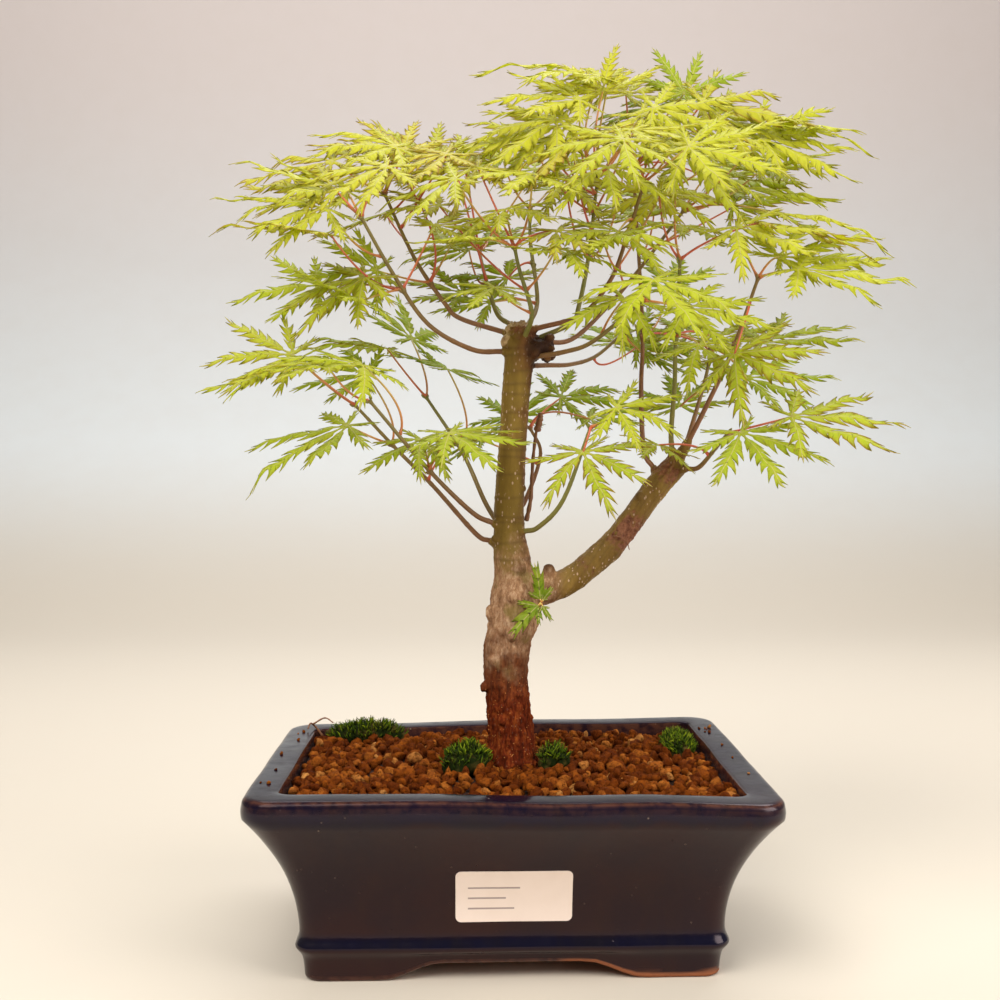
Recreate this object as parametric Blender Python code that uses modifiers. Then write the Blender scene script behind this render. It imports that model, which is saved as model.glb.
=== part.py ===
"""Laceleaf maple bonsai in a glazed rectangular pot, modelled in metres with +Z up."""

import math

import bmesh
import bpy
from mathutils import Matrix, Vector

MM = 0.001

# Fits: the gap that seated neighbours keep, and the wider gap under soft moss.
CLEARANCE = 0.0003
MOSS_CLEARANCE = 0.0005

# Pot
POT_LENGTH = 0.1908
POT_DEPTH = 0.149
POT_HEIGHT = 0.069
CORNER_RADIUS = 0.013
MOUTH_CORNER_RADIUS = 0.007
LIP_WIDTH = 0.0125
LIP_ROUNDING = 0.0022
BAND_HEIGHT = 0.0076
BAND_BULGE = 0.0003
WAIST_SETBACK = 0.0181
WAIST_HEIGHT = 0.018
FLARE_POWER = 1.95
BEAD_PROUD = 0.0011
BEAD_HEIGHT = 0.0124
FOOT_SETBACK = 0.0198
WALL = 0.0062
FLOOR_TOP = 0.0125
LONG_FOOT = 0.028
SHORT_FOOT = 0.024
ARCH_RUN = 0.022
ARCH_HEIGHT = 0.0062
ARCH_LEAST_FLAT = 0.004
FOOT_WALL = 0.010
RECESS_HEIGHT = 0.0072
DRAIN_RADIUS = 0.007
DRAIN_SPACING = 0.070
CUT_BEYOND = 0.004
CORNER_STEPS = 5

# Soil
SOIL_DROP = 0.0045
SOIL_MOUND = 0.0028
SOIL_RIPPLE = 0.0004
RIPPLE_LENGTH = 0.040
SOIL_RINGS = (0.86, 0.68, 0.5, 0.32, 0.16)

# Label
LABEL_LENGTH = 0.0416
LABEL_HEIGHT = 0.0197
LABEL_MIDDLE = 0.0318
LABEL_CORNER = 0.002
LABEL_THICKNESS = 0.0004

# Trunk and the thick side branch
TRUNK_HEIGHT = 0.172
CROWN_PITCH = 0.172  # length over which the shoots and the fork are spread
TRUNK_DIAMETER = 0.0178
TRUNK_X = 0.0015
TRUNK_Y = -0.0032
ROOT_SPREAD = 0.0014
ROOT_DEPTH = 0.014
ROOT_DIAMETER = TRUNK_DIAMETER + 2 * ROOT_SPREAD
BRANCH_DIAMETER = 0.0107
BRANCH_SHARE = 0.375
BRANCH_GIRTH_AT_SHOOTS = 0.9

# Shoots, their swellings and the leaves
SHOOT_DIAMETER = 0.0021
SHOOT_TIP_DIAMETER = 0.0013
NODE_DIAMETER = 0.0023
NODE_HALF_LENGTH = 0.002
COLLAR_DIAMETER = 0.0031
COLLAR_PROUD = 0.0012
COLLAR_TAPER = 0.85
LEAST_SINE = 0.45
CROWN_SPREAD = 1.0
STRAIGHT_FOOT = 0.5  # straight start of a shoot as a share of its diameter
PETIOLE_DIAMETER = 0.0009
PETIOLE_RISE = 0.3
PETIOLE_RUN_IN = 0.25
TIP_LEAN = 0.9
SIDE_LEAN = 0.45
LEAF_THICKNESS = 0.0005
LEAF_SCALE = 1.0
LEAF_DROOP = 0.34
LEAF_TILT = 16.0

# Trunk stations: share of the height above the soil, sideways sway in mm, girth as a
# multiple of the trunk's diameter.
TRUNK_LINE = (
    (0.035, 0.0, 1.03),
    (0.12, -1.5, 0.96),
    (0.21, -2.5, 0.96),
    (0.28, -1.5, 1.02),
    (0.33, 0.8, 1.11),
    (0.39, 1.5, 1.10),
    (0.435, 0.6, 0.88),
    (0.48, -0.3, 0.80),
    (0.525, -1.0, 0.70),
    (0.60, -1.0, 0.66),
    (0.73, 0.3, 0.61),
    (0.83, 1.4, 0.61),
    (0.90, 2.5, 0.63),
    (0.96, 3.4, 0.66),
    (1.0, 3.7, 0.60),
)

# Side branch stations: offsets from the fork in mm along X and Z, girth multiple.
BRANCH_LINE = (
    (0, 0, 1.15),
    (12, 4, 1.12),
    (21, 7, 1.0),
    (35, 18, 0.96),
    (44, 28, 0.94),
    (52, 39, 0.90),
    (61, 50, 0.90),
    (65, 54, 0.84),
)

# Each shoot: the wood it grows from, the share of that wood's length, its bends as
# offsets from there in mm, and the shares of its own length that carry leaf nodes.
SHOOTS = {
    "a": ("trunk", 0.94, ((-19, -4, 1), (-36, -12, 10), (-49, -22, 28), (-60, -30, 47)), (0.62, 1)),
    "b": ("trunk", 0.975, ((-24, 4, 8), (-30, 5, 14), (-42, 7, 32), (-54, 10, 58)), (0.48, 1)),
    "c": ("trunk", 0.985, ((-9, 12, 9), (-13, 22, 23), (-16, 34, 38)), (1,)),
    "d": ("trunk", 0.935, ((4, -14, 15), (-1, -21, 30), (-3, -24, 38)), (1,)),
    "f": ("trunk", 0.955, ((20, -2, 9), (23, -2, 16), (27, 0, 36), (31, 5, 68)), (1,)),
    "g": ("trunk", 0.985, ((23, -12, 6), (33, -18, 18), (38, -22, 31), (45, -26, 54)), (1,)),
    "h": ("trunk", 0.965, ((21, 9, 2), (37, 15, 17), (49, 18, 31), (68, 21, 56)), (1,)),
    "i": ("trunk", 0.925, ((17, -12, 2), (27, -24, 5), (43, -42, 18)), (1,)),
    "j": ("trunk", 0.91, ((12, 8, 1), (22, 16, 2), (33, 24, 6), (46, 36, 17)), (1,)),
    "k": ("branch", 0.88, ((-6, 7, 13), (-6, 15, 38), (-4, 26, 66), (-6, 40, 132)), (0.45, 1)),
    "l": ("branch", 0.96, ((-1, -2, 15), (0, -4, 33), (0, -6, 48), (1, -10, 81)), (0.60, 1)),
    "m": ("branch", 0.985, ((11, -10, 25), (18, -18, 43), (26, -27, 70)), (0.62, 1)),
    "o": ("branch", 0.95, ((9, -10, 1), (13, -18, 7), (17, -27, 14)), (1,)),
    "p": ("trunk", 0.53, ((-15, -8, 8), (-32, -18, 25), (-53, -30, 50)), (0.5, 1)),
    "q": ("trunk", 0.485, ((-14, -1, 7), (-31, 2, 26), (-45, 4, 40), (-62, 8, 58)), (0.72, 1)),
    "r": ("trunk", 0.50, ((-10, 13, 17), (-19, 22, 37), (-34, 32, 60)), (1,)),
    "t": ("trunk", 0.52, ((11, -10, 4), (20, -18, 15), (29, -30, 42)), (1,)),
}

# Each leaf: its shoot, the leaf node it grows from, the way to the heart of the blade in
# mm, the heading of the middle lobe in degrees from +X, and the middle lobe's length in mm.
LEAVES = (
    ("a", 0, (-26, -8, 12), 184, 44),
    ("a", 0, (12, 0, 24), 30, 30),
    ("a", 1, (-12, 10, 14), 150, 34),
    ("b", 0, (-20, -12, -3), 196, 34),
    ("b", 1, (-20, -4, 12), 176, 42),
    ("b", 1, (8, 2, 18), 118, 34),
    ("b", 0, (8, 9, 16), 62, 32),
    ("c", 0, (-6, 4, 36), 64, 34),
    ("c", 0, (4, 12, 6), 80, 34),
    ("d", 0, (-22, -8, 24), 188, 34),
    ("d", 0, (6, -8, 26), 262, 34),
    ("f", 0, (-12, -13, 17), 190, 44),
    ("f", 0, (13, 6, 20), 335, 36),
    ("f", 0, (0, 8, 46), 172, 46),
    ("g", 0, (-10, -16, 12), 236, 36),
    ("g", 0, (14, -14, 10), 312, 38),
    ("h", 0, (24, 2, 10), 8, 46),
    ("i", 0, (2, -12, 6), 282, 38),
    ("j", 0, (10, 8, -8), 40, 36),
    ("k", 1, (50, -20, 18), 4, 58),
    ("k", 1, (38, 26, 2), 14, 44),
    ("k", 1, (-4, -6, 30), 60, 34),
    ("l", 1, (30, -4, 14), 352, 46),
    ("l", 1, (-9, -5, 25), 208, 32),
    ("m", 1, (14, -4, 3), 340, 44),
    ("m", 1, (14, 24, 12), 24, 40),
    ("m", 0, (14, 16, 2), 12, 38),
    ("o", 0, (22, -8, 6), 352, 42),
    ("o", 0, (2, -12, 0), 290, 34),
    ("p", 1, (-15, -6, 13), 196, 36),
    ("p", 0, (8, -10, 14), 300, 32),
    ("q", 1, (-22, -6, 11), 180, 42),
    ("q", 0, (-16, -14, -1), 205, 40),
    ("r", 0, (-16, -2, 20), 160, 38),
    ("t", 0, (-3, -3, -9), 268, 34),
)

# Lobes of a blade: angle from the middle lobe in degrees and share of its length.
LOBES = ((-122, 0.36), (-80, 0.66), (-39, 0.88), (0, 1.0), (39, 0.88), (80, 0.66), (122, 0.36))
LOBE_WAIST = 0.13
LOBE_SHOULDER = 0.52
LOBE_HALF_WIDTH = 0.105
BASE_NOTCH = 34

# Cut stubs and the bark knot: the wood, the share of its length, the way out, the
# diameter and how far it stands proud in mm.
STUBS = {
    "top_stub": ("trunk", 0.95, (-0.75, -0.55, 0.35), 5.5, 3.0),
    "small_stub": ("trunk", 0.985, (-0.8, -0.5, 0.2), 3.0, 1.6),
    "burr": ("trunk", 0.945, (0.9, 0.12, 0.1), 6.5, 0.6),
    "knot": ("trunk", 0.17, (-1.0, -0.3, 0.1), 4.0, 1.8),
    "fork_stub": ("branch", 0.17, (0.1, -0.2, 1.0), 4.5, 2.2),
}

# Moss cushions: half length, half width and height in mm, and where they sit: beside the
# trunk at an angle and gap, or in from the side wall (+X right) and the back wall (+Y).
MOSSES = {
    "moss_left_of_trunk": (9, 7, 6.5, "trunk", 214, 3.5),
    "moss_right_of_trunk": (6, 5, 5.5, "trunk", 335, 2.0),
    "moss_back_corner": (16, 6, 5.0, "wall", -24, 9),
    "moss_right_side": (6, 16, 4.5, "wall", 10, 34),
}
MOSS_PROFILE = ((1.0, 0.0), (1.08, 0.3), (0.85, 0.72), (0.45, 0.97))
MOSS_WOBBLE = 0.10
MOSS_SIDES = 12

parts = bpy.data.collections.new("maple_bonsai")
cutters = bpy.data.collections.new("cutters")


def material(name, colour, roughness, metallic=0.0):
    made = bpy.data.materials.new(name)
    made.use_nodes = True
    shader = made.node_tree.nodes["Principled BSDF"]
    shader.inputs["Base Color"].default_value = (*colour, 1.0)
    shader.inputs["Roughness"].default_value = roughness
    shader.inputs["Metallic"].default_value = metallic
    return made


def add_object(name, mesh, collection, root, surface=None):
    made = bpy.data.objects.new(name, mesh)
    collection.objects.link(made)
    made.parent = root
    if surface:
        mesh.materials.append(surface)
    if collection is cutters:
        made.hide_render = True
        made.display_type = "WIRE"
    return made


def shade_round(mesh, angle=35):
    mesh.shade_smooth()
    mesh.set_sharp_from_angle(angle=math.radians(angle))


def mesh_from_bmesh(name, bm):
    bmesh.ops.recalc_face_normals(bm, faces=bm.faces)
    mesh = bpy.data.meshes.new(name)
    bm.to_mesh(mesh)
    bm.free()
    return mesh


def tube_mesh(name, points, radii, resolution=2):
    """A round tube through points, made as a curve and turned into a welded mesh."""
    curve = bpy.data.curves.new(name, "CURVE")
    curve.dimensions = "3D"
    curve.bevel_depth = 1.0
    curve.bevel_resolution = resolution
    curve.use_fill_caps = True
    spline = curve.splines.new("POLY")
    spline.points.add(len(points) - 1)
    for target, point, radius in zip(spline.points, points, radii):
        target.co = (*point, 1.0)
        target.radius = radius
    holder = bpy.data.objects.new(name, curve)
    bpy.context.scene.collection.objects.link(holder)
    graph = bpy.context.evaluated_depsgraph_get()
    mesh = bpy.data.meshes.new_from_object(holder.evaluated_get(graph))
    bpy.data.objects.remove(holder)
    bm = bmesh.new()
    bm.from_mesh(mesh)
    bmesh.ops.remove_doubles(bm, verts=bm.verts, dist=0.000001)
    bpy.data.meshes.remove(mesh)
    return mesh_from_bmesh(name, bm)


def cut(target, cutter, operation="DIFFERENCE"):
    step = target.modifiers.new(cutter.name, "BOOLEAN")
    step.operation = operation
    step.solver = "EXACT"
    step.object = cutter
    return step


def smooth_line(points, steps):
    """Points of a smooth curve through the given points, evenly split between them."""
    ends = [points[0] * 2 - points[1], *points, points[-1] * 2 - points[-2]]
    line = []
    for i in range(1, len(ends) - 2):
        p0, p1, p2, p3 = ends[i - 1:i + 3]
        for k in range(steps):
            t = k / steps
            line.append(
                0.5 * (2 * p1 + (p2 - p0) * t + (2 * p0 - 5 * p1 + 4 * p2 - p3) * t * t
                       + (3 * p1 - p0 - 3 * p2 + p3) * t ** 3)
            )
    line.append(points[-1])
    return line


def along(line, share):
    """Point and direction at a share of a line's length."""
    lengths = [(b - a).length for a, b in zip(line, line[1:])]
    left = share * sum(lengths)
    for i, length in enumerate(lengths):
        if left <= length or i == len(lengths) - 1:
            step = (line[i + 1] - line[i]).normalized()
            return line[i] + step * min(left, length), step
        left -= length


# ---------------------------------------------------------------- pot


def rounded_ring(half_x, half_y, radius, z):
    """One level outline of a box with round corners, anticlockwise from above."""
    ring = []
    for corner, (sx, sy) in enumerate(((1, 1), (-1, 1), (-1, -1), (1, -1))):
        for k in range(CORNER_STEPS + 1):
            turn = math.radians(90 * corner + 90 * k / CORNER_STEPS)
            x = sx * (half_x - radius) + radius * math.cos(turn)
            y = sy * (half_y - radius) + radius * math.sin(turn)
            ring.append((x, y, z))
    return ring


def loft(bm, rings):
    """Skin between rings of equal count, closed by a flat face at each end."""
    loops = [[bm.verts.new(point) for point in ring] for ring in rings]
    for low, high in zip(loops, loops[1:]):
        for i in range(len(low)):
            j = (i + 1) % len(low)
            bm.faces.new((low[i], low[j], high[j], high[i]))
    bm.faces.new(loops[0])
    bm.faces.new(loops[-1])
    return loops


def outer_setback(z):
    """How far the pot's outer face lies inside the rim at height z."""
    band_low = POT_HEIGHT - BAND_HEIGHT
    if z >= band_low:
        return 0.0
    if z >= WAIST_HEIGHT:
        rise = (z - WAIST_HEIGHT) / (band_low - WAIST_HEIGHT)
        return WAIST_SETBACK * (1 - rise ** FLARE_POWER)
    if z >= BEAD_HEIGHT:
        rise = (z - BEAD_HEIGHT) / (WAIST_HEIGHT - BEAD_HEIGHT)
        return WAIST_SETBACK - BEAD_PROUD * (1 - rise)
    rise = z / BEAD_HEIGHT
    return FOOT_SETBACK + (WAIST_SETBACK - BEAD_PROUD - FOOT_SETBACK) * rise ** 2


def hollow_heights():
    """Heights of the planting hollow's outlines, from just under the lip to the floor."""
    top = POT_HEIGHT - LIP_ROUNDING
    return [top + (FLOOR_TOP - top) * k / 6 for k in range(7)]


def inner_setback(z):
    """The same for the face of the planting hollow, straight between its outlines."""
    heights = hollow_heights()
    for upper, lower in zip(heights, heights[1:]):
        if z >= lower or lower == heights[-1]:
            high = max(LIP_WIDTH, outer_setback(upper) + WALL)
            low = max(LIP_WIDTH, outer_setback(lower) + WALL)
            return high + (low - high) * (upper - z) / (upper - lower)


def pot_ring(setback, z, radius):
    return rounded_ring(POT_LENGTH / 2 - setback, POT_DEPTH / 2 - setback, radius, z)


def corner_at(setback):
    return max(CORNER_RADIUS - 0.25 * setback, MOUTH_CORNER_RADIUS)


def make_pot(root):
    band_low = POT_HEIGHT - BAND_HEIGHT
    flare = [WAIST_HEIGHT + (band_low - WAIST_HEIGHT) * k / 7 for k in range(8)]
    heights = [BEAD_HEIGHT * k / 3 for k in range(3)] + [BEAD_HEIGHT] + flare
    rings = [pot_ring(outer_setback(z), z, corner_at(outer_setback(z))) for z in heights]
    lip = POT_HEIGHT - LIP_ROUNDING
    rings.append(pot_ring(-BAND_BULGE, (band_low + lip) / 2, CORNER_RADIUS))
    for k in range(4):
        turn = math.radians(90 * k / 3)
        back = LIP_ROUNDING * (1 - math.cos(turn))
        rings.append(pot_ring(back, lip + LIP_ROUNDING * math.sin(turn), CORNER_RADIUS - back))
    edge = LIP_ROUNDING / 2
    rings.append(pot_ring(LIP_WIDTH - edge, POT_HEIGHT, MOUTH_CORNER_RADIUS + edge))
    rings.append(pot_ring(LIP_WIDTH, POT_HEIGHT - edge, MOUTH_CORNER_RADIUS))
    for z in hollow_heights():
        rings.append(pot_ring(inner_setback(z), z, MOUTH_CORNER_RADIUS))
    bm = bmesh.new()
    loft(bm, rings)
    glaze = material("pot_glaze", (0.012, 0.014, 0.030), 0.16)
    pot = add_object("pot", mesh_from_bmesh("pot", bm), parts, root, glaze)

    base_x = POT_LENGTH / 2 - FOOT_SETBACK
    base_y = POT_DEPTH / 2 - FOOT_SETBACK
    for name, half, foot, reach, axis in (
        ("long_arch", base_x, LONG_FOOT, POT_DEPTH, "Y"),
        ("short_arch", base_y, SHORT_FOOT, POT_LENGTH, "X"),
    ):
        wide = half - foot
        run = min(ARCH_RUN, wide - ARCH_LEAST_FLAT)
        side = []
        for k in range(7):
            t = k / 6
            side.append((wide - run * t, ARCH_HEIGHT * t * t * (3 - 2 * t)))
        outline = [(wide, -CUT_BEYOND)] + side
        outline += [(-a, z) for a, z in reversed(outline)]
        bm = bmesh.new()
        ends = []
        for way in (-reach, reach):
            if axis == "Y":
                ends.append([(a, way, z) for a, z in outline])
            else:
                ends.append([(way, a, z) for a, z in outline])
        loft(bm, ends)
        cut(pot, add_object(name, mesh_from_bmesh(name, bm), cutters, root))

    bm = bmesh.new()
    recess = FOOT_SETBACK + FOOT_WALL
    loft(bm, [pot_ring(recess, z, MOUTH_CORNER_RADIUS) for z in (-CUT_BEYOND, RECESS_HEIGHT)])
    cut(pot, add_object("recess", mesh_from_bmesh("recess", bm), cutters, root))

    for name, side in (("drain_left", -1), ("drain_right", 1)):
        bm = bmesh.new()
        bmesh.ops.create_cone(
            bm, cap_ends=True, segments=20, radius1=DRAIN_RADIUS, radius2=DRAIN_RADIUS,
            depth=FLOOR_TOP * 2,
            matrix=Matrix.Translation((side * DRAIN_SPACING / 2, 0, FLOOR_TOP)),
        )
        cut(pot, add_object(name, mesh_from_bmesh(name, bm), cutters, root))
    shade_round(pot.data)
    return pot


# ---------------------------------------------------------------- soil, moss, label

def soil_height(x, y):
    half_x = POT_LENGTH / 2 - LIP_WIDTH
    half_y = POT_DEPTH / 2 - LIP_WIDTH
    mound = max(0.0, 1 - (x / half_x) ** 2) * max(0.0, 1 - (y / half_y) ** 2)
    wave = 2 * math.pi / RIPPLE_LENGTH
    ripple = math.sin(wave * x + 0.7) * math.cos(wave * y)
    return POT_HEIGHT - SOIL_DROP + SOIL_MOUND * mound + SOIL_RIPPLE * ripple * mound


def make_soil(root):
    top = POT_HEIGHT - SOIL_DROP
    low = FLOOR_TOP + CLEARANCE
    levels = [low] + [z for z in reversed(hollow_heights()) if low < z < top] + [top]
    rings = [pot_ring(inner_setback(z) + CLEARANCE, z, MOUTH_CORNER_RADIUS) for z in levels]
    edge = inner_setback(top) + CLEARANCE
    for share in SOIL_RINGS:
        ring = rounded_ring(
            (POT_LENGTH / 2 - edge) * share, (POT_DEPTH / 2 - edge) * share,
            MOUTH_CORNER_RADIUS * share, 0,
        )
        rings.append([(x, y, soil_height(x, y)) for x, y, _ in ring])
    bm = bmesh.new()
    loft(bm, rings)
    akadama = material("soil_grains", (0.30, 0.105, 0.030), 0.95)
    soil = add_object("soil", mesh_from_bmesh("soil", bm), parts, root, akadama)

    bm = bmesh.new()
    pocket = ROOT_DIAMETER / 2 + CLEARANCE
    bottom = root_bottom() - CLEARANCE
    tall = POT_HEIGHT + SOIL_MOUND - bottom
    bmesh.ops.create_cone(
        bm, cap_ends=True, segments=24, radius1=pocket, radius2=pocket, depth=tall,
        matrix=Matrix.Translation((TRUNK_X, TRUNK_Y, bottom + tall / 2)),
    )
    cut(soil, add_object("root_pocket", mesh_from_bmesh("root_pocket", bm), cutters, root))
    shade_round(soil.data)
    return soil


def moss_middle(half_x, half_y, anchor, first, second):
    """Where a cushion sits: beside the trunk or in from the walls of the pot."""
    if anchor == "trunk":
        turn = math.radians(first)
        away = max(ROOT_DIAMETER, TRUNK_DIAMETER) / 2 + second * MM
        away += MM * math.hypot(half_x * math.cos(turn), half_y * math.sin(turn))
        return TRUNK_X + away * math.cos(turn), TRUNK_Y + away * math.sin(turn)
    half_mouth = POT_DEPTH / 2 - LIP_WIDTH
    side = math.copysign(POT_LENGTH / 2 - LIP_WIDTH, first)
    return side - first * MM, half_mouth - second * MM


def make_mosses(root):
    for name, (half_x, half_y, height, *place) in MOSSES.items():
        x, y = moss_middle(half_x, half_y, *place)
        rings = []
        for spread, rise in MOSS_PROFILE:
            ring = []
            for k in range(MOSS_SIDES):
                turn = 2 * math.pi * k / MOSS_SIDES
                wide = spread * (1 + MOSS_WOBBLE * math.sin(3 * turn + half_x)) * MM
                px = x + half_x * wide * math.cos(turn)
                py = y + half_y * wide * math.sin(turn)
                ring.append((px, py, soil_height(px, py) + MOSS_CLEARANCE + height * MM * rise))
            rings.append(ring)
        bm = bmesh.new()
        loft(bm, rings)
        green = material(name, (0.075, 0.20, 0.018), 0.9)
        moss = add_object(name, mesh_from_bmesh(name, bm), parts, root, green)
        shade_round(moss.data, 60)


def make_label(root):
    low = LABEL_MIDDLE - LABEL_HEIGHT / 2
    rows = [LABEL_CORNER * (1 - math.cos(math.radians(30 * k))) for k in range(4)]
    middle = [LABEL_HEIGHT * k / 6 for k in range(1, 6)]
    rises = rows + middle + [LABEL_HEIGHT - r for r in reversed(rows)]
    bm = bmesh.new()
    pairs = []
    for rise in rises:
        from_end = min(rise, LABEL_HEIGHT - rise)
        short = 0.0
        if from_end < LABEL_CORNER:
            short = LABEL_CORNER - math.sqrt(LABEL_CORNER ** 2 - (LABEL_CORNER - from_end) ** 2)
        half = LABEL_LENGTH / 2 - short
        z = low + rise
        y = -(POT_DEPTH / 2 - outer_setback(z)) - CLEARANCE
        pairs.append([bm.verts.new((-half, y, z)), bm.verts.new((half, y, z))])
    for lower, upper in zip(pairs, pairs[1:]):
        bm.faces.new((lower[0], lower[1], upper[1], upper[0]))
    paper = material("label_paper", (0.80, 0.68, 0.62), 0.45)
    mesh = bpy.data.meshes.new("label")
    bm.to_mesh(mesh)
    bm.free()
    label = add_object("label", mesh, parts, root, paper)
    skin = label.modifiers.new("thickness", "SOLIDIFY")
    skin.thickness = LABEL_THICKNESS
    skin.offset = 1.0
    return label


# ---------------------------------------------------------------- wood

def soil_at_trunk():
    return soil_height(TRUNK_X, TRUNK_Y)


def root_bottom():
    return soil_at_trunk() - ROOT_DEPTH


def height_above_soil(share):
    """Above the fork the wood keeps its spacing below the cut; the bare stem takes up the rest."""
    if share >= BRANCH_SHARE:
        return TRUNK_HEIGHT - (1 - share) * CROWN_PITCH
    fork = TRUNK_HEIGHT - (1 - BRANCH_SHARE) * CROWN_PITCH
    return share / BRANCH_SHARE * fork


def trunk_line():
    """Axis of the trunk from the soil up to the cut, and its diameter at each point."""
    base = soil_at_trunk()
    points = [Vector((TRUNK_X, TRUNK_Y, base))]
    widths = [ROOT_DIAMETER]
    for share, sway, girth in TRUNK_LINE:
        points.append(Vector((TRUNK_X + sway * MM, TRUNK_Y, base + height_above_soil(share))))
        widths.append(girth * TRUNK_DIAMETER)
    return points, widths


def branch_line():
    fork, _ = height_on_trunk(BRANCH_SHARE)
    points = [fork + Vector((x, 0, z)) * MM for x, z, _ in BRANCH_LINE]
    widths = [girth * BRANCH_DIAMETER for _, _, girth in BRANCH_LINE]
    return points, widths


def height_on_trunk(share):
    """Point and width of the trunk at a share of its height."""
    points, widths = trunk_line()
    z = points[0].z + height_above_soil(share)
    for i in range(len(points) - 1):
        if z <= points[i + 1].z or i == len(points) - 2:
            t = (z - points[i].z) / (points[i + 1].z - points[i].z)
            return points[i].lerp(points[i + 1], t), widths[i] + (widths[i + 1] - widths[i]) * t


def wood_at(wood, share):
    """Point, direction and width of the wood that a shoot grows from."""
    if wood == "trunk":
        point, width = height_on_trunk(share)
        return point, Vector((0, 0, 1)), width
    points, widths = branch_line()
    point, step = along(points, share)
    return point, step, BRANCH_DIAMETER * BRANCH_GIRTH_AT_SHOOTS


def shoot_base(name):
    """Where a shoot leaves its collar, and the axis of the collar itself."""
    wood, share, bends, _ = SHOOTS[name]
    heart, grain, width = wood_at(wood, share)
    way = (Vector(bends[0]) * MM).normalized()
    sine = max(way.cross(grain).length, LEAST_SINE)
    reach = width / 2 / sine + COLLAR_PROUD
    return heart, way, reach


def shoot_axis(name):
    _, _, bends, _ = SHOOTS[name]
    heart, way, reach = shoot_base(name)
    points = [heart + way * (reach + CLEARANCE)]
    points += [heart + Vector(bend) * MM * CROWN_SPREAD for bend in bends]
    line = smooth_line(points, 2)
    line.insert(1, line[0] + way * SHOOT_DIAMETER * STRAIGHT_FOOT)
    return line


def make_trunk(root):
    points, widths = trunk_line()
    axis = [points[0] - Vector((0, 0, ROOT_DEPTH))] + points
    girths = [ROOT_DIAMETER] + widths
    bark = material("bark", (0.20, 0.105, 0.060), 0.8)
    mesh = tube_mesh("trunk", axis, [g / 2 for g in girths], 4)
    trunk = add_object("trunk", mesh, parts, root, bark)

    points, widths = branch_line()
    mesh = tube_mesh("branch", points, [w / 2 for w in widths], 3)
    cut(trunk, add_object("side_branch_core", mesh, cutters, root), "UNION")

    for name, (wood, share, way, diameter, proud) in STUBS.items():
        start, _, width = wood_at(wood, share)
        end = start + Vector(way).normalized() * (width / 2 + proud * MM)
        mesh = tube_mesh(name, [start, end], [diameter * MM / 2] * 2)
        cut(trunk, add_object(name, mesh, cutters, root), "UNION")

    for name in SHOOTS:
        heart, way, reach = shoot_base(name)
        ends = [heart, heart + way * (reach - COLLAR_PROUD), heart + way * reach]
        radii = [COLLAR_DIAMETER / 2, COLLAR_DIAMETER / 2, COLLAR_DIAMETER / 2 * COLLAR_TAPER]
        mesh = tube_mesh(f"collar_{name}", ends, radii)
        cut(trunk, add_object(f"collar_{name}", mesh, cutters, root), "UNION")
    shade_round(trunk.data, 50)
    return trunk


def make_shoots(root):
    for name, (_, _, _, nodes) in SHOOTS.items():
        line = shoot_axis(name)
        total = sum((b - a).length for a, b in zip(line, line[1:]))
        bulge = NODE_HALF_LENGTH / total
        shares = []
        run = 0.0
        for a, b in zip([line[0]] + line, line):
            run += (b - a).length
            shares.append((run / total, 0))
        for node in nodes:
            if node < 1:
                shares = [s for s in shares if abs(s[0] - node) > bulge * 1.4]
                shares += [(node - bulge, 0), (node, 1), (node + bulge, 0)]
            else:
                shares = [s for s in shares if s[0] < 1 - bulge * 1.4]
                shares += [(1 - bulge, 0), (1, 1)]
        shares.sort()
        points = [along(line, share)[0] for share, _ in shares]
        radii = []
        for share, is_node in shares:
            taper = SHOOT_DIAMETER + (SHOOT_TIP_DIAMETER - SHOOT_DIAMETER) * share
            radii.append(NODE_DIAMETER / 2 if is_node else taper / 2)
        stem = material(f"shoot_{name}", (0.17, 0.15, 0.030), 0.55)
        mesh = tube_mesh(f"shoot_{name}", points, radii)
        shade_round(mesh, 50)
        add_object(f"shoot_{name}", mesh, parts, root, stem)


# ---------------------------------------------------------------- leaves

def blade_mesh(name, length):
    """A palmate blade lying in XY with its heart at the origin and drooping lobes."""
    bm = bmesh.new()

    def place(angle, distance, side=0.0):
        turn = math.radians(angle)
        x = distance * math.cos(turn) - side * math.sin(turn)
        y = distance * math.sin(turn) + side * math.cos(turn)
        sag = LEAF_DROOP * (x * x + y * y) / length
        return bm.verts.new((x, y, -sag))

    heart = bm.verts.new((0, 0, 0))
    rim = []
    edge = LOBE_WAIST * length
    angles = [angle for angle, _ in LOBES]
    rim.append(place(angles[0] - BASE_NOTCH, edge))
    for i, (angle, share) in enumerate(LOBES):
        reach = share * length
        half = LOBE_HALF_WIDTH * reach
        rim.append(place(angle, reach * LOBE_SHOULDER, -half))
        rim.append(place(angle, reach))
        rim.append(place(angle, reach * LOBE_SHOULDER, half))
        after = angles[i + 1] if i + 1 < len(angles) else angle + 2 * BASE_NOTCH
        rim.append(place((angle + after) / 2, edge))
    for i in range(len(LOBES)):
        low, right, tip, left, high = rim[4 * i:4 * i + 5]
        bm.faces.new((heart, low, right))
        bm.faces.new((heart, right, left))
        bm.faces.new((right, tip, left))
        bm.faces.new((heart, left, high))
    bm.faces.new((heart, rim[-1], rim[0]))
    mesh = bpy.data.meshes.new(name)
    bm.to_mesh(mesh)
    bm.free()
    return mesh


def leaf_seat(shoot, node):
    """Middle of a leaf node on its shoot and the shoot's direction there."""
    return along(shoot_axis(shoot), SHOOTS[shoot][3][node])


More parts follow.
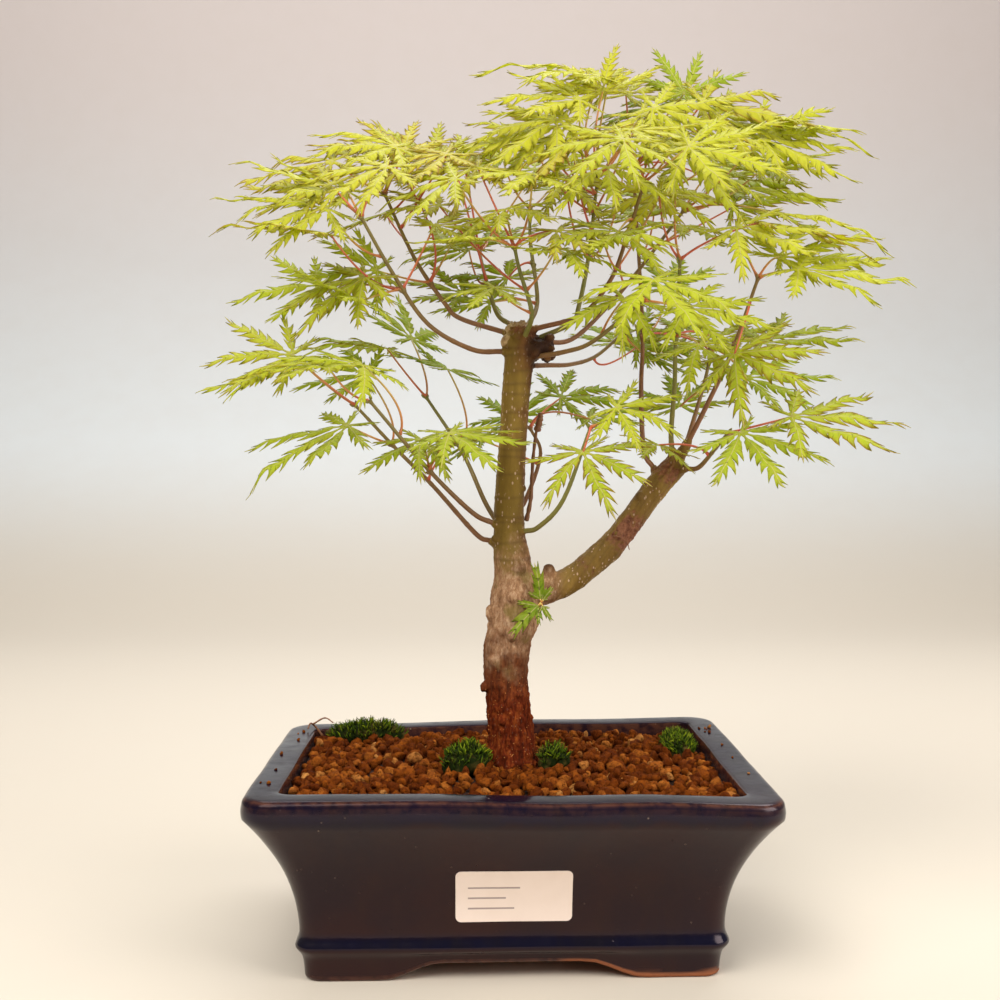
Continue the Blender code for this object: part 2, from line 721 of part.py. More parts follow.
def make_leaves(root):
    for number, (shoot, node, way, heading, length) in enumerate(LEAVES, 1):
        name = f"leaf_{number:02d}_on_{shoot}"
        seat, grain = leaf_seat(shoot, node)
        heart = seat + Vector(way) * MM * CROWN_SPREAD
        out = (heart - seat).normalized()
        across = (out - grain * out.dot(grain)).normalized()
        lean = TIP_LEAN if SHOOTS[shoot][3][node] == 1 else SIDE_LEAN
        leave = (across + grain * lean).normalized()
        start = seat + leave * (NODE_DIAMETER / 2 + CLEARANCE)
        reach = (heart - start).length
        turn = math.radians(heading)
        ahead = Vector((math.cos(turn), math.sin(turn), 0))
        line = smooth_line(
            [start, start + leave * reach * PETIOLE_RISE,
             heart - (ahead + out).normalized() * reach * PETIOLE_RUN_IN, heart], 1,
        )
        radii = [PETIOLE_DIAMETER / 2] * len(line)

        green = material(name, (0.36, 0.50, 0.035), 0.5)
        size = length * MM * LEAF_SCALE
        blade = add_object(name, blade_mesh(name, size), parts, root, green)
        tilt = Matrix.Rotation(math.radians(LEAF_TILT), 4, "Y")
        blade.matrix_basis = Matrix.Translation(heart) @ Matrix.Rotation(turn, 4, "Z") @ tilt
        skin = blade.modifiers.new("thickness", "SOLIDIFY")
        skin.thickness = LEAF_THICKNESS
        skin.offset = 0.0
        stalk = add_object(f"stalk_{number:02d}", tube_mesh(name, line, radii), cutters, root)
        cut(blade, stalk, "UNION")


# ---------------------------------------------------------------- the whole plant

def centre_on_footprint(root):
    """Moves the frame's origin to the middle of the plant's footprint, at the table."""
    graph = bpy.context.evaluated_depsgraph_get()
    graph.update()
    low = Vector((1e9, 1e9, 0))
    high = Vector((-1e9, -1e9, 0))
    for piece in parts.objects:
        if piece.type != "MESH":
            continue
        shape = piece.evaluated_get(graph)
        for vertex in shape.to_mesh().vertices:
            spot = shape.matrix_world @ vertex.co
            for i in (0, 1):
                low[i] = min(low[i], spot[i])
                high[i] = max(high[i], spot[i])
        shape.to_mesh_clear()
    root.location = -(low + high) / 2
    root.location.z = 0


def main():
    for old in list(bpy.data.objects):
        bpy.data.objects.remove(old, do_unlink=True)
    bpy.context.scene.collection.children.link(parts)
    bpy.context.scene.collection.children.link(cutters)
    root = bpy.data.objects.new("bonsai_origin", None)
    parts.objects.link(root)
    make_pot(root)
    make_soil(root)
    make_mosses(root)
    make_label(root)
    make_trunk(root)
    make_shoots(root)
    make_leaves(root)
    centre_on_footprint(root)


main()
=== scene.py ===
import math
import random

import bmesh
import bpy
from mathutils import Matrix, Vector, noise


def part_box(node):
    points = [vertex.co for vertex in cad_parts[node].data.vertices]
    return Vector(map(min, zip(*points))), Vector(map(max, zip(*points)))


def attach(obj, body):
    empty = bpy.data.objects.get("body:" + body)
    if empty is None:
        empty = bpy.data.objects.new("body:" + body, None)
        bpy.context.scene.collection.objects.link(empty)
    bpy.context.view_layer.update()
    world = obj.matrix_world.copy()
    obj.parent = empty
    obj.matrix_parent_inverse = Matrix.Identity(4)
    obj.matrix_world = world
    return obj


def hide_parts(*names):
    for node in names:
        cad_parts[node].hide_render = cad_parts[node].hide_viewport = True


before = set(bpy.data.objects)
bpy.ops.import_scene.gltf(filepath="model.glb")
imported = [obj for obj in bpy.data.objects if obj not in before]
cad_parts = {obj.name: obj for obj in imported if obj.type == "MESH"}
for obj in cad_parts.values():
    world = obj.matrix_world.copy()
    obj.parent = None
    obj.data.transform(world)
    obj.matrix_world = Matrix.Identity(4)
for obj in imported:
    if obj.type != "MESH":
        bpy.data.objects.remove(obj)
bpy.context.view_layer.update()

mm = 0.001

# the pot's own middle on the table: every plan below is in millimetres from here
potLow, potHigh = (Vector(corner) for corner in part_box("pot"))
potMiddle = Vector(((potLow.x + potHigh.x) / 2, (potLow.y + potHigh.y) / 2, 0))


class Finish:
    # one procedural material and the node links that feed its shader
    def __init__(self, name, roughness=0.5):
        self.material = bpy.data.materials.new(name)
        self.material.use_nodes = True
        self.tree = self.material.node_tree
        self.shader = self.tree.nodes["Principled BSDF"]
        self.shader.inputs["Roughness"].default_value = roughness
        self.coords = self.tree.nodes.new("ShaderNodeTexCoord").outputs["Object"]

    def link(self, source, target):
        self.tree.links.new(source, target)

    def put(self, socket, value):
        if hasattr(value, "links"):
            self.link(value, socket)
        elif isinstance(value, tuple) and len(value) == 3 and socket.type == "RGBA":
            socket.default_value = (*value, 1)
        else:
            socket.default_value = value

    def stretch(self, x, y, z):
        node = self.tree.nodes.new("ShaderNodeMapping")
        self.link(self.coords, node.inputs["Vector"])
        node.inputs["Scale"].default_value = (x, y, z)
        return node.outputs["Vector"]

    def noise(self, size, detail=3, coords=None, rough=0.55, warp=0.0):
        # size is the width of the pattern's features in millimetres
        node = self.tree.nodes.new("ShaderNodeTexNoise")
        self.link(coords or self.coords, node.inputs["Vector"])
        node.inputs["Scale"].default_value = 1000 / size
        node.inputs["Detail"].default_value = detail
        node.inputs["Roughness"].default_value = rough
        node.inputs["Distortion"].default_value = warp
        return node.outputs["Fac"]

    def cells(self, size, feature="F1", coords=None):
        node = self.tree.nodes.new("ShaderNodeTexVoronoi")
        node.feature = feature
        self.link(coords or self.coords, node.inputs["Vector"])
        node.inputs["Scale"].default_value = 1000 / size
        return node.outputs["Distance"]

    def fade(self, value, low, high, outLow=0.0, outHigh=1.0):
        node = self.tree.nodes.new("ShaderNodeMapRange")
        node.interpolation_type = "SMOOTHSTEP"
        self.put(node.inputs["Value"], value)
        limits = {"From Min": low, "From Max": high, "To Min": outLow, "To Max": outHigh}
        for name, number in limits.items():
            node.inputs[name].default_value = number
        return node.outputs["Result"]

    def reckon(self, kind, first, second):
        node = self.tree.nodes.new("ShaderNodeMath")
        node.operation = kind
        self.put(node.inputs[0], first)
        self.put(node.inputs[1], second)
        return node.outputs[0]

    def plus(self, first, second):
        return self.reckon("ADD", first, second)

    def times(self, first, second):
        return self.reckon("MULTIPLY", first, second)

    def most(self, first, second):
        return self.reckon("MAXIMUM", first, second)

    def mix(self, share, first, second):
        node = self.tree.nodes.new("ShaderNodeMix")
        node.data_type = "RGBA"
        self.put(node.inputs[0], share)
        self.put(node.inputs[6], first)
        self.put(node.inputs[7], second)
        return node.outputs[2]

    def ramp(self, value, *stops):
        node = self.tree.nodes.new("ShaderNodeValToRGB")
        self.put(node.inputs["Fac"], value)
        marks = node.color_ramp.elements
        while len(marks) < len(stops):
            marks.new(0.5)
        for mark, (place, colour) in zip(marks, stops):
            mark.position = place
            mark.color = (*colour, 1)
        return node.outputs["Color"]

    def place(self, axis="Z"):
        # metres from the pot's middle, or up from the table
        node = self.tree.nodes.new("ShaderNodeSeparateXYZ")
        self.link(self.coords, node.inputs[0])
        return node.outputs[axis]

    def painted(self, name):
        # a value that the mesh code painted on the piece's points
        node = self.tree.nodes.new("ShaderNodeAttribute")
        node.attribute_name = name
        return node.outputs["Fac"]

    def bump(self, value, depth, strength=1.0, under=None):
        node = self.tree.nodes.new("ShaderNodeBump")
        self.link(value, node.inputs["Height"])
        node.inputs["Distance"].default_value = depth * mm
        node.inputs["Strength"].default_value = strength
        if under:
            self.link(under, node.inputs["Normal"])
        return node.outputs["Normal"]

    def colour(self, value):
        self.put(self.shader.inputs["Base Color"], value)

    def set(self, name, value):
        self.put(self.shader.inputs[name], value)


def addPiece(name, mesh, finishes, slot, *replaced):
    piece = bpy.data.objects.new(name, mesh)
    bpy.context.scene.collection.objects.link(piece)
    piece.location = potMiddle
    for finish in finishes:
        mesh.materials.append(finish)
    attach(piece, "root")
    if replaced:
        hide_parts(*replaced)
    return piece


def closeMesh(name, bm):
    bmesh.ops.recalc_face_normals(bm, faces=bm.faces)
    mesh = bpy.data.meshes.new(name)
    bm.to_mesh(mesh)
    bm.free()
    mesh.shade_smooth()
    return mesh


def clamp(value):
    return max(0.0, min(1.0, value))


def flatWay(degrees):
    # a level direction, counted from X toward Y
    turn = math.radians(degrees)
    return Vector((math.cos(turn), math.sin(turn), 0))


def joinRings(bm, rings, material=0):
    for low, high in zip(rings, rings[1:]):
        for k in range(len(low)):
            j = (k + 1) % len(low)
            bm.faces.new((low[k], low[j], high[j], high[k])).material_index = material


def fillRings(bm, rings):
    # a closed body from a stack of rings, with a lid at each end
    joinRings(bm, rings)
    bm.faces.new(rings[0])
    bm.faces.new(rings[-1])


def smoothLine(points, steps):
    # an even curve through all the points
    ends = [points[0] * 2 - points[1], *points, points[-1] * 2 - points[-2]]
    line = []
    for i in range(1, len(ends) - 2):
        p0, p1, p2, p3 = ends[i - 1:i + 3]
        for k in range(steps):
            t = k / steps
            line.append(0.5 * (2 * p1 + (p2 - p0) * t + (2 * p0 - 5 * p1 + 4 * p2 - p3) * t * t
                               + (3 * p1 - p0 - 3 * p2 + p3) * t ** 3))
    line.append(points[-1])
    return line


def along(line, share):
    lengths = [(b - a).length for a, b in zip(line, line[1:])]
    left = share * sum(lengths)
    for i, length in enumerate(lengths):
        if left <= length or i == len(lengths) - 1:
            step = (line[i + 1] - line[i]).normalized()
            return line[i] + step * min(left, length), step
        left -= length


def sweep(bm, points, radii, sides, spanLayer=None, spans=None, material=0):
    # a closed tube with pointed ends through the points; spans say how far along each ring is
    ahead = (points[1] - points[0]).normalized()
    side = ahead.orthogonal().normalized()
    rings = []
    for i, point in enumerate(points):
        behind = points[max(i - 1, 0)]
        beyond = points[min(i + 1, len(points) - 1)]
        way = (beyond - behind).normalized()
        side = (side - way * side.dot(way)).normalized()
        up = way.cross(side)
        ring = []
        for k in range(sides):
            turn = 2 * math.pi * k / sides
            vert = bm.verts.new(point + (side * math.cos(turn) + up * math.sin(turn)) * radii[i])
            if spanLayer:
                vert[spanLayer] = spans[i] if spans else i / (len(points) - 1)
            ring.append(vert)
        rings.append(ring)
    joinRings(bm, rings, material)
    for ring, point, out, radius in (
        (rings[0], points[0], points[0] - points[1], radii[0]),
        (rings[-1], points[-1], points[-1] - points[-2], radii[-1]),
    ):
        tip = bm.verts.new(point + out.normalized() * radius * 0.5)
        if spanLayer:
            tip[spanLayer] = ring[0][spanLayer]
        for k in range(sides):
            bm.faces.new((ring[k], ring[(k + 1) % sides], tip)).material_index = material


studio = {
    "cameraAt": (-19.8, -516.8, 183.5),
    "pitch": -1.37,
    "yaw": -1.85,
    "lens": 46.8,
    "floorTone": (0.60, 0.54, 0.45),
    "wallLow": (0.76, 0.79, 0.79),
    "wallHigh": (0.73, 0.65, 0.62),
    "speckTone": (0.6, 0.5, 0.4),
    "paperRun": 0.9,
    "paperBend": 0.9,
    "skyTone": (1.0, 0.965, 0.93, 1),
    "skyStrength": 0.19,
    # each lamp: where it is, what it points at, its size in metres, its power and its tone
    "lamps": {
        "key": ((-0.55, -0.75, 1.15), (0, 0, 0.18), (0.9, 0.9), 22, (1, 0.97, 0.93)),
        "fill": ((0.95, -0.55, 0.7), (0, 0, 0.2), (0.9, 0.9), 14, (1, 0.97, 0.94)),
        "back": ((0.1, 0.6, 1.1), (0, 0.1, 0.2), (1.2, 0.6), 10, (0.97, 0.98, 1)),
        "wall": ((0, 0.75, 1.6), (0, 1.9, 0.7), (2.4, 0.4), 9, (0.97, 0.98, 1)),
    },
}


def placeCamera():
    data = bpy.data.cameras.new("camera")
    data.lens = studio["lens"]
    data.clip_start = 0.01
    camera = bpy.data.objects.new("camera", data)
    bpy.context.scene.collection.objects.link(camera)
    camera.location = potMiddle + Vector(studio["cameraAt"]) * mm
    camera.rotation_euler = (math.radians(90 + studio["pitch"]), 0, math.radians(studio["yaw"]))
    bpy.context.scene.camera = camera


def addLamp(name, place, target, size, power, colour):
    data = bpy.data.lights.new(name, "AREA")
    data.shape = "RECTANGLE"
    data.size, data.size_y = size
    data.energy = power
    data.color = colour
    lamp = bpy.data.objects.new(name, data)
    bpy.context.scene.collection.objects.link(lamp)
    lamp.location = potMiddle + Vector(place)
    way = Vector(target) - Vector(place)
    lamp.rotation_euler = way.to_track_quat("-Z", "Y").to_euler()


def makeStudio():
    # a sheet of paper that lies flat, then curves up behind the plant
    bm = bmesh.new()
    run, bend = studio["paperRun"], studio["paperBend"]
    profile = [(-3.0, 0.0), (run, 0.0)]
    for k in range(1, 17):
        turn = math.radians(90 * k / 16)
        profile.append((run + bend * math.sin(turn), bend * (1 - math.cos(turn))))
    profile.append((run + bend, 4.0))
    rows = [[bm.verts.new((x, y, z)) for x in (-4, -1, 1, 4)] for y, z in profile]
    for low, high in zip(rows, rows[1:]):
        for k in range(3):
            bm.faces.new((low[k], low[k + 1], high[k + 1], high[k]))
    mesh = closeMesh("paper_sweep", bm)
    paper = Finish("paperSweep", 0.7)
    # the change of tone from the floor up the wall is painted light and shade on one sheet of paper
    tone = paper.mix(paper.fade(paper.place(), 0.0, 0.24), studio["floorTone"], studio["wallLow"])
    tone = paper.mix(paper.fade(paper.place(), 0.20, 1.0), tone, studio["wallHigh"])
    speck = paper.noise(40, 4)
    paper.colour(paper.mix(paper.fade(speck, 0.3, 0.8, 0.0, 0.06), tone, studio["speckTone"]))
    backdrop = bpy.data.objects.new("paper_sweep", mesh)
    bpy.context.scene.collection.objects.link(backdrop)
    mesh.materials.append(paper.material)
    backdrop.location = potMiddle

    world = bpy.data.worlds.new("softRoom")
    bpy.context.scene.world = world
    world.use_nodes = True
    sky = world.node_tree.nodes["Background"]
    sky.inputs["Color"].default_value = studio["skyTone"]
    sky.inputs["Strength"].default_value = studio["skyStrength"]
    for name, lamp in studio["lamps"].items():
        addLamp(name, *lamp)
    bpy.context.scene.view_settings.view_transform = "Standard"


pot = {
    "length": 190.8, "depth": 149.0, "height": 69.0,
    "corner": 11.5, "mouthCorner": 5.0,
    "lip": 12.5, "lipRound": 2.6, "mouthRound": 1.2, "band": 7.6, "bulge": 0.3,
    "waist": 18.1, "waistHeight": 18.0, "flarePower": 1.95,
    "bead": 1.5, "beadHeight": 12.4, "beadSpread": 2.6, "footSetback": 19.8,
    "wall": 6.2, "floorTop": 12.5,
    "longFoot": 28.0, "shortFoot": 24.0, "archRun": 22.0, "archHeight": 6.2,
    "footWall": 10.0, "recess": 7.2, "footRound": 1.4,
    "drainRadius": 7.0, "drainSpacing": 70.0,
    "handmade": 0.45, "twist": 1.4, "warpFrom": 16.0,
}


def outerSetback(z):
    bandLow = pot["height"] - pot["band"]
    if z >= bandLow:
        return -pot["bulge"] * math.sin(math.pi * min(1.0, (z - bandLow) / (pot["band"] - pot["lipRound"])))
    if z >= pot["waistHeight"]:
        rise = (z - pot["waistHeight"]) / (bandLow - pot["waistHeight"])
        return pot["waist"] * (1 - rise ** pot["flarePower"])
    bead = pot["bead"] * math.exp(-((z - pot["beadHeight"]) / pot["beadSpread"]) ** 2)
    if z >= pot["beadHeight"]:
        return pot["waist"] - bead
    rise = z / pot["beadHeight"]
    return pot["footSetback"] + (pot["waist"] - pot["footSetback"]) * rise ** 2 - bead


def potOutline(setback, radius):
    # points around the pot: round corners and evenly divided sides, without height
    halfX, halfY = pot["length"] / 2 - setback, pot["depth"] / 2 - setback
    ring = []
    for corner, (sx, sy) in enumerate(((1, 1), (-1, 1), (-1, -1), (1, -1))):
        for k in range(11):
            turn = math.radians(90 * corner + 9 * k)
            ring.append((sx * (halfX - radius) + radius * math.cos(turn),
                         sy * (halfY - radius) + radius * math.sin(turn)))
        nx, ny = ((-1, 1), (-1, -1), (1, -1), (1, 1))[corner]
        last = ring[-1]
        turn = math.radians(90 * (corner + 1))
        follow = (nx * (halfX - radius) + radius * math.cos(turn),
                  ny * (halfY - radius) + radius * math.sin(turn))
        count = 28 if corner in (0, 2) else 20
        for k in range(1, count):
            t = k / count
            ring.append((last[0] + (follow[0] - last[0]) * t, last[1] + (follow[1] - last[1]) * t))
    return ring


def archRise(x, y):
    # how far the underside of the wall is lifted between the feet
    rises = []
    for place, half, foot in (
        (x, pot["length"] / 2 - pot["footSetback"], pot["longFoot"]),
        (y, pot["depth"] / 2 - pot["footSetback"], pot["shortFoot"]),
    ):
        t = clamp((half - foot - abs(place)) / pot["archRun"])
        rises.append(t * t * (3 - 2 * t))
    onLongSide = abs(y) / (pot["depth"] / 2) > abs(x) / (pot["length"] / 2)
    return pot["archHeight"] * (rises[0] if onLongSide else rises[1])


def warp(x, y, z):
    # the rim rose a little at two corners in the kiln, and the walls follow it
    high = max(0.0, (z - pot["warpFrom"]) / (pot["height"] - pot["warpFrom"])) ** 2
    wave = noise.noise(Vector((x, y, 5)) * 0.022) * 0.7
    return high * (pot["twist"] * x * y * 4 / (pot["length"] * pot["depth"]) + wave)


def bareFoot(x, y, z):
    # the glaze was wiped off the underside edge of one front foot
    if x < 18 or y > -pot["depth"] / 4:
        return 0.0
    top = 2.3 + 1.4 * noise.noise(Vector((x, y, 0)) * 0.09) - max(0.0, 30 - x) * 0.1
    return clamp((top - z) / 0.8)


def handWobble(x, y, z):
    wobble = noise.noise(Vector((x, y, z)) * 0.03) + noise.noise(Vector((x, y, z)) * 0.11) * 0.25
    return wobble * pot["handmade"]


def makePot(glaze):
    bm = bmesh.new()
    breakLayer = bm.verts.layers.float.new("glazeBreak")
    clayLayer = bm.verts.layers.float.new("bareClay")
    rings = []

    def addRing(setback, z, radius, lifted=0.0, breakAt=0.0, bareAt=0.0):
        ring = []
        for x, y in potOutline(setback, radius):
            rise = archRise(x, y) * lifted
            wobble = handWobble(x, y, z)
            away = Vector((x, y, 0)).normalized() * wobble
            vert = bm.verts.new((Vector((x, y, z + rise + warp(x, y, z))) + away) * mm)
            vert[breakLayer] = breakAt
            vert[clayLayer] = max(bareAt, bareFoot(x, y, z))
            ring.append(vert)
        rings.append(ring)

    def cornerAt(setback):
        return max(pot["corner"] - 0.25 * setback, pot["mouthCorner"])

    # under the pot: the recess, the inside of the feet and their flat soles
    base = pot["footSetback"]
    inner = base + pot["footWall"]
    mouth = pot["mouthCorner"]
    rounding = pot["footRound"]
    addRing(inner, pot["recess"], mouth, 0, 0, 1)
    addRing(inner, 3.0, mouth, 0.6, 0, 1)
    addRing(inner - 0.4, 0.6, mouth, 1, 0, 1)
    addRing(inner - 1.5, 0.0, mouth, 1, 0, 1)
    addRing(base + 4.0, 0.0, cornerAt(base), 1, 0, 1)
    addRing(base + rounding * 1.4, 0.02, cornerAt(base), 1, 0.2, 1)
    for k in range(1, 5):
        turn = math.radians(90 * k / 4)
        back = rounding * (1 - math.sin(turn))
        addRing(base + back, rounding * (1 - math.cos(turn)), cornerAt(base), 1,
                1.0 if k < 3 else 0.4, 0.5 if k == 1 else 0)
    # the outside, from the foot over the bead and the flare to the band
    levels = [2.4, 3.8, 5.2, 6.6, 8.0, 9.0, 10.0, 11.0, 12.0, 12.8, 13.6, 14.6, 15.8, 17.2, 19.0]
    bandLow = pot["height"] - pot["band"]
    levels += [19 + (bandLow - 19) * k / 16 for k in range(1, 17)]
    levels += [bandLow + (pot["band"] - pot["lipRound"]) * k / 4 for k in range(1, 5)]
    for z in levels:
        lifted = clamp((11 - z) / (11 - rounding))
        worn = 0.25 * math.exp(-(z - bandLow - 4.6) ** 2)
        addRing(outerSetback(z), z, cornerAt(outerSetback(z)), lifted, worn)
    # over the rolled lip and down the inside to the floor
    top = pot["height"] - pot["lipRound"]
    for k in range(1, 7):
        turn = math.radians(90 * k / 6)
        back = pot["lipRound"] * (1 - math.cos(turn))
        addRing(back, top + pot["lipRound"] * math.sin(turn), pot["corner"] - back * 0.5,
                0, (0.1, 0.3, 0.75, 0.4, 0.1, 0.0)[k - 1])
    mouthRound = pot["mouthRound"]
    for share in (0.3, 0.55, 0.75):
        addRing(pot["lipRound"] + (pot["lip"] - pot["lipRound"] - mouthRound) * share,
                pot["height"] + 0.12 * math.sin(math.pi * share), pot["corner"] - 4 * share)
    for k in range(5):
        turn = math.radians(90 * k / 4)
        addRing(pot["lip"] - mouthRound + mouthRound * math.sin(turn),
                pot["height"] - mouthRound * (1 - math.cos(turn)),
                mouth + mouthRound - mouthRound * math.sin(turn), 0, (0, 0, 0.3, 0.8, 0.8)[k])
    for k in range(1, 9):
        z = pot["height"] - mouthRound + (pot["floorTop"] - pot["height"] + mouthRound) * k / 8
        addRing(max(pot["lip"], outerSetback(z) + pot["wall"]), z, mouth, 0, 0.3 if k == 1 else 0)
    fillRings(bm, rings)
    piece = addPiece("glazed_pot", closeMesh("glazed_pot", bm), [glaze], "glaze", "pot")
    cutDrains(piece)
    piece.data.set_sharp_from_angle(angle=math.radians(50))


def cutDrains(piece):
    # two drain holes through the floor
    for side in (-1, 1):
        bm = bmesh.new()
        bmesh.ops.create_cone(bm, cap_ends=True, segments=40, radius1=pot["drainRadius"] * mm,
                              radius2=pot["drainRadius"] * mm, depth=0.03)
        cutter = bpy.data.objects.new("drain", closeMesh("drain", bm))
        bpy.context.scene.collection.objects.link(cutter)
        cutter.location = potMiddle + Vector((side * pot["drainSpacing"] / 2 * mm, 0, 0.01))
        bpy.context.view_layer.update()
        step = piece.modifiers.new("drain", "BOOLEAN")
        step.object = cutter
        step.solver = "EXACT"
        bpy.context.view_layer.objects.active = piece
        bpy.ops.object.modifier_apply(modifier=step.name)
        bpy.data.objects.remove(cutter)


glazeTones = {
    "body": (0.0180, 0.0040, 0.0036), "bodyThick": (0.0085, 0.0030, 0.0056),
    "warmReflectionRuns": (0.020, 0.007, 0.004),
    "navy": (0.0022, 0.0026, 0.0120), "navyRuns": (0.0040, 0.0036, 0.0090),
    "brokenEdge": (0.135, 0.050, 0.026), "clay": (0.34, 0.115, 0.045), "clayShade": (0.20, 0.065, 0.026),
    "dust": (0.30, 0.22, 0.16),
}


def glazeFinish():
    glaze = Finish("darkNavyGlaze", 0.2)
    rise = glaze.place()
    broad = glaze.noise(45, 3, warp=0.4)
    streak = glaze.noise(9, 4, glaze.stretch(1, 1, 0.25))  # runs of thicker glaze down the walls
    body = glaze.mix(glaze.fade(broad, 0.35, 0.7), glazeTones["body"], glazeTones["bodyThick"])
    # along the thicker runs on the walls, brown is mixed in as a painted warm reflection of the floor
    body = glaze.mix(glaze.fade(streak, 0.45, 0.8, 0, 0.5), body, glazeTones["warmReflectionRuns"])
    # navy covers the band, whose lower edge drips a little, and the bead
    navy = glaze.mix(glaze.fade(streak, 0.4, 0.7), glazeTones["navy"], glazeTones["navyRuns"])
    drips = glaze.plus(rise, glaze.fade(streak, 0.3, 0.7, -0.0015, 0.0015))
    upper = glaze.fade(drips, 0.0590, 0.0625)
    bead = glaze.times(glaze.fade(rise, 0.0118, 0.0132), glaze.fade(rise, 0.0150, 0.0190, 1, 0))
    body = glaze.mix(glaze.most(upper, bead), body, navy)
    patchy = glaze.fade(glaze.noise(3.5, 4), 0.3, 0.62, 0.15, 0.8)
    edge = glaze.times(glaze.painted("glazeBreak"), patchy)
    body = glaze.mix(edge, body, glazeTones["brokenEdge"])
    clay = glaze.mix(glaze.noise(1.2, 5), glazeTones["clay"], glazeTones["clayShade"])
    bare = glaze.painted("bareClay")
    dust = glaze.fade(glaze.cells(3.8), 0.05, 0.11, 1.0, 0.0)
    settled = glaze.times(glaze.fade(glaze.noise(14, 2), 0.50, 0.64),
                        glaze.fade(rise, 0.046, 0.064, 0.22, 1))
    dust = glaze.times(dust, settled)
    body = glaze.mix(glaze.times(dust, 0.8), body, glazeTones["dust"])
    glaze.colour(glaze.mix(bare, body, clay))
    soft = glaze.fade(glaze.noise(7, 4), 0.3, 0.8, 0.14, 0.28)
    soft = glaze.most(soft, glaze.times(bare, 0.9))
    glaze.set("Roughness", glaze.most(soft, glaze.times(dust, 0.7)))
    glaze.set("Specular IOR Level", glaze.fade(rise, 0.0665, 0.0688, 0.36, 0.10))
    glaze.set("Specular Tint", (1.0, 0.80, 0.82, 1))
    rippled = glaze.bump(glaze.noise(11, 3), 0.22, 0.6)
    rippled = glaze.bump(glaze.noise(4, 3), 0.05, 0.6, rippled)
    pits = glaze.fade(glaze.cells(6.5), 0.03, 0.07)
    glaze.set("Normal", glaze.bump(pits, 0.12, 0.8, rippled))
    return glaze.material


soil = {
    "drop": 4.5, "mound": 2.8, "ripple": 0.4, "rippleLength": 40.0,
    "grainSizes": (1.8, 3.3), "grains": 820, "crumbSizes": (1.1, 2.6), "crumbs": 480,
    "crowding": 0.80, "mouthCorner": 7.0, "heaps": 6, "seed": 11,
}


def soilHeight(x, y):
    halfX, halfY = pot["length"] / 2 - pot["lip"], pot["depth"] / 2 - pot["lip"]
    mound = max(0.0, 1 - (x / halfX) ** 2) * max(0.0, 1 - (y / halfY) ** 2)
    wave = 2 * math.pi / soil["rippleLength"]
    ripple = math.sin(wave * x + 0.7) * math.cos(wave * y)
    return pot["height"] - soil["drop"] + soil["mound"] * mound + soil["ripple"] * ripple * mound


def makeSoilBed(finish):
    # the bed that shows between the grains, painted dark as shade in the gaps
    bm = bmesh.new()
    rings = []
    for z in (14, 30, 46, 58, 62.3):
        setback = max(pot["lip"], outerSetback(z) + pot["wall"]) + 0.4
        rings.append([bm.verts.new(Vector((x, y, z)) * mm) for x, y in potOutline(setback, 6.6)])
    for share in (0.97, 0.9, 0.8, 0.7, 0.6, 0.5, 0.4, 0.3, 0.2, 0.1, 0.04):
        ring = []
        for x, y in potOutline(pot["lip"] + 0.5, 6.6):
            x, y = x * share, y * share
            z = soilHeight(x, y) - 2.4 + noise.noise(Vector((x, y, 3)) * 0.3) * 0.9
            ring.append(bm.verts.new(Vector((x, y, z)) * mm))
        rings.append(ring)
    fillRings(bm, rings)
    addPiece("soil_bed", closeMesh("soil_bed", bm), [finish], "akadama", "soil")


def anyWay(rng):
    return Vector((rng.gauss(0, 1), rng.gauss(0, 1), rng.gauss(0, 1))).normalized()


def grainShape(bm, middle, radius, rng, tintLayer):
    # one lump of baked clay, knobbly and a little flattened
    made = bmesh.ops.create_icosphere(bm, subdivisions=2, radius=1.0)["verts"]
    turn = Matrix.Rotation(rng.uniform(0, 6.3), 3, anyWay(rng))
    wide, flat = rng.uniform(0.9, 1.25), rng.uniform(0.75, 1.0)
    shift = Vector((rng.uniform(0, 90), rng.uniform(0, 90), rng.uniform(0, 90)))
    tint = rng.random()
    faces = [(anyWay(rng), rng.uniform(0.46, 0.84)) for _ in range(9)]
    for vert in made:
        way = vert.co.normalized()
        spot = way * (1.08 + 0.30 * noise.noise(way * 1.2 + shift))
        for face, reach in faces:
            spot -= face * max(0.0, spot.dot(face) - reach) * 0.92
        spot *= 1 + 0.24 * noise.noise(way * 3.2 + shift) + 0.17 * noise.noise(way * 7.5 + shift)
        spot = turn @ Vector((spot.x * wide, spot.y, spot.z * flat))
        vert.co = (middle + spot * radius * 1.12) * mm
        vert[tintLayer] = tint


def scatterGrains(rng):
    # two loose layers: a bed of grains, then smaller crumbs scattered a little higher over it
    halfX, halfY = pot["length"] / 2 - pot["lip"] - 0.6, pot["depth"] / 2 - pot["lip"] - 0.6
    trunkAt = Vector((tree["trunkX"], tree["trunkY"]))
    placed = []
    corner = soil["mouthCorner"]
    layers = ((soil["grains"], *soil["grainSizes"]), (soil["crumbs"], *soil["crumbSizes"]))
    for layer, (count, low, high) in enumerate(layers):
        mine = []
        tries = 0
        while len(mine) < count and tries < count * 40:
            tries += 1
            radius = rng.uniform(low, high)
            x = rng.uniform(-halfX + radius, halfX - radius)
            y = rng.uniform(-halfY + radius, halfY - radius)
            if (Vector((x, y)) - trunkAt).length < tree["trunkWidth"] / 2 + radius * 0.8:
                continue
            inCorner = max(0, abs(x) - halfX + corner) ** 2 + max(0, abs(y) - halfY + corner) ** 2
            if inCorner > (corner - radius) ** 2:
                continue
            if any((x - a) ** 2 + (y - b) ** 2 < ((radius + r) * soil["crowding"]) ** 2 for a, b, r in mine):
                continue
            mine.append((x, y, radius))
            rise = -0.30 * radius if layer == 0 else 1.6 - 0.20 * radius
            rise += noise.noise(Vector((x, y, 7 + layer)) * 0.07) * 2.2
            placed.append((Vector((x, y, soilHeight(x, y) - 0.2 + rise)), radius))
    return placed


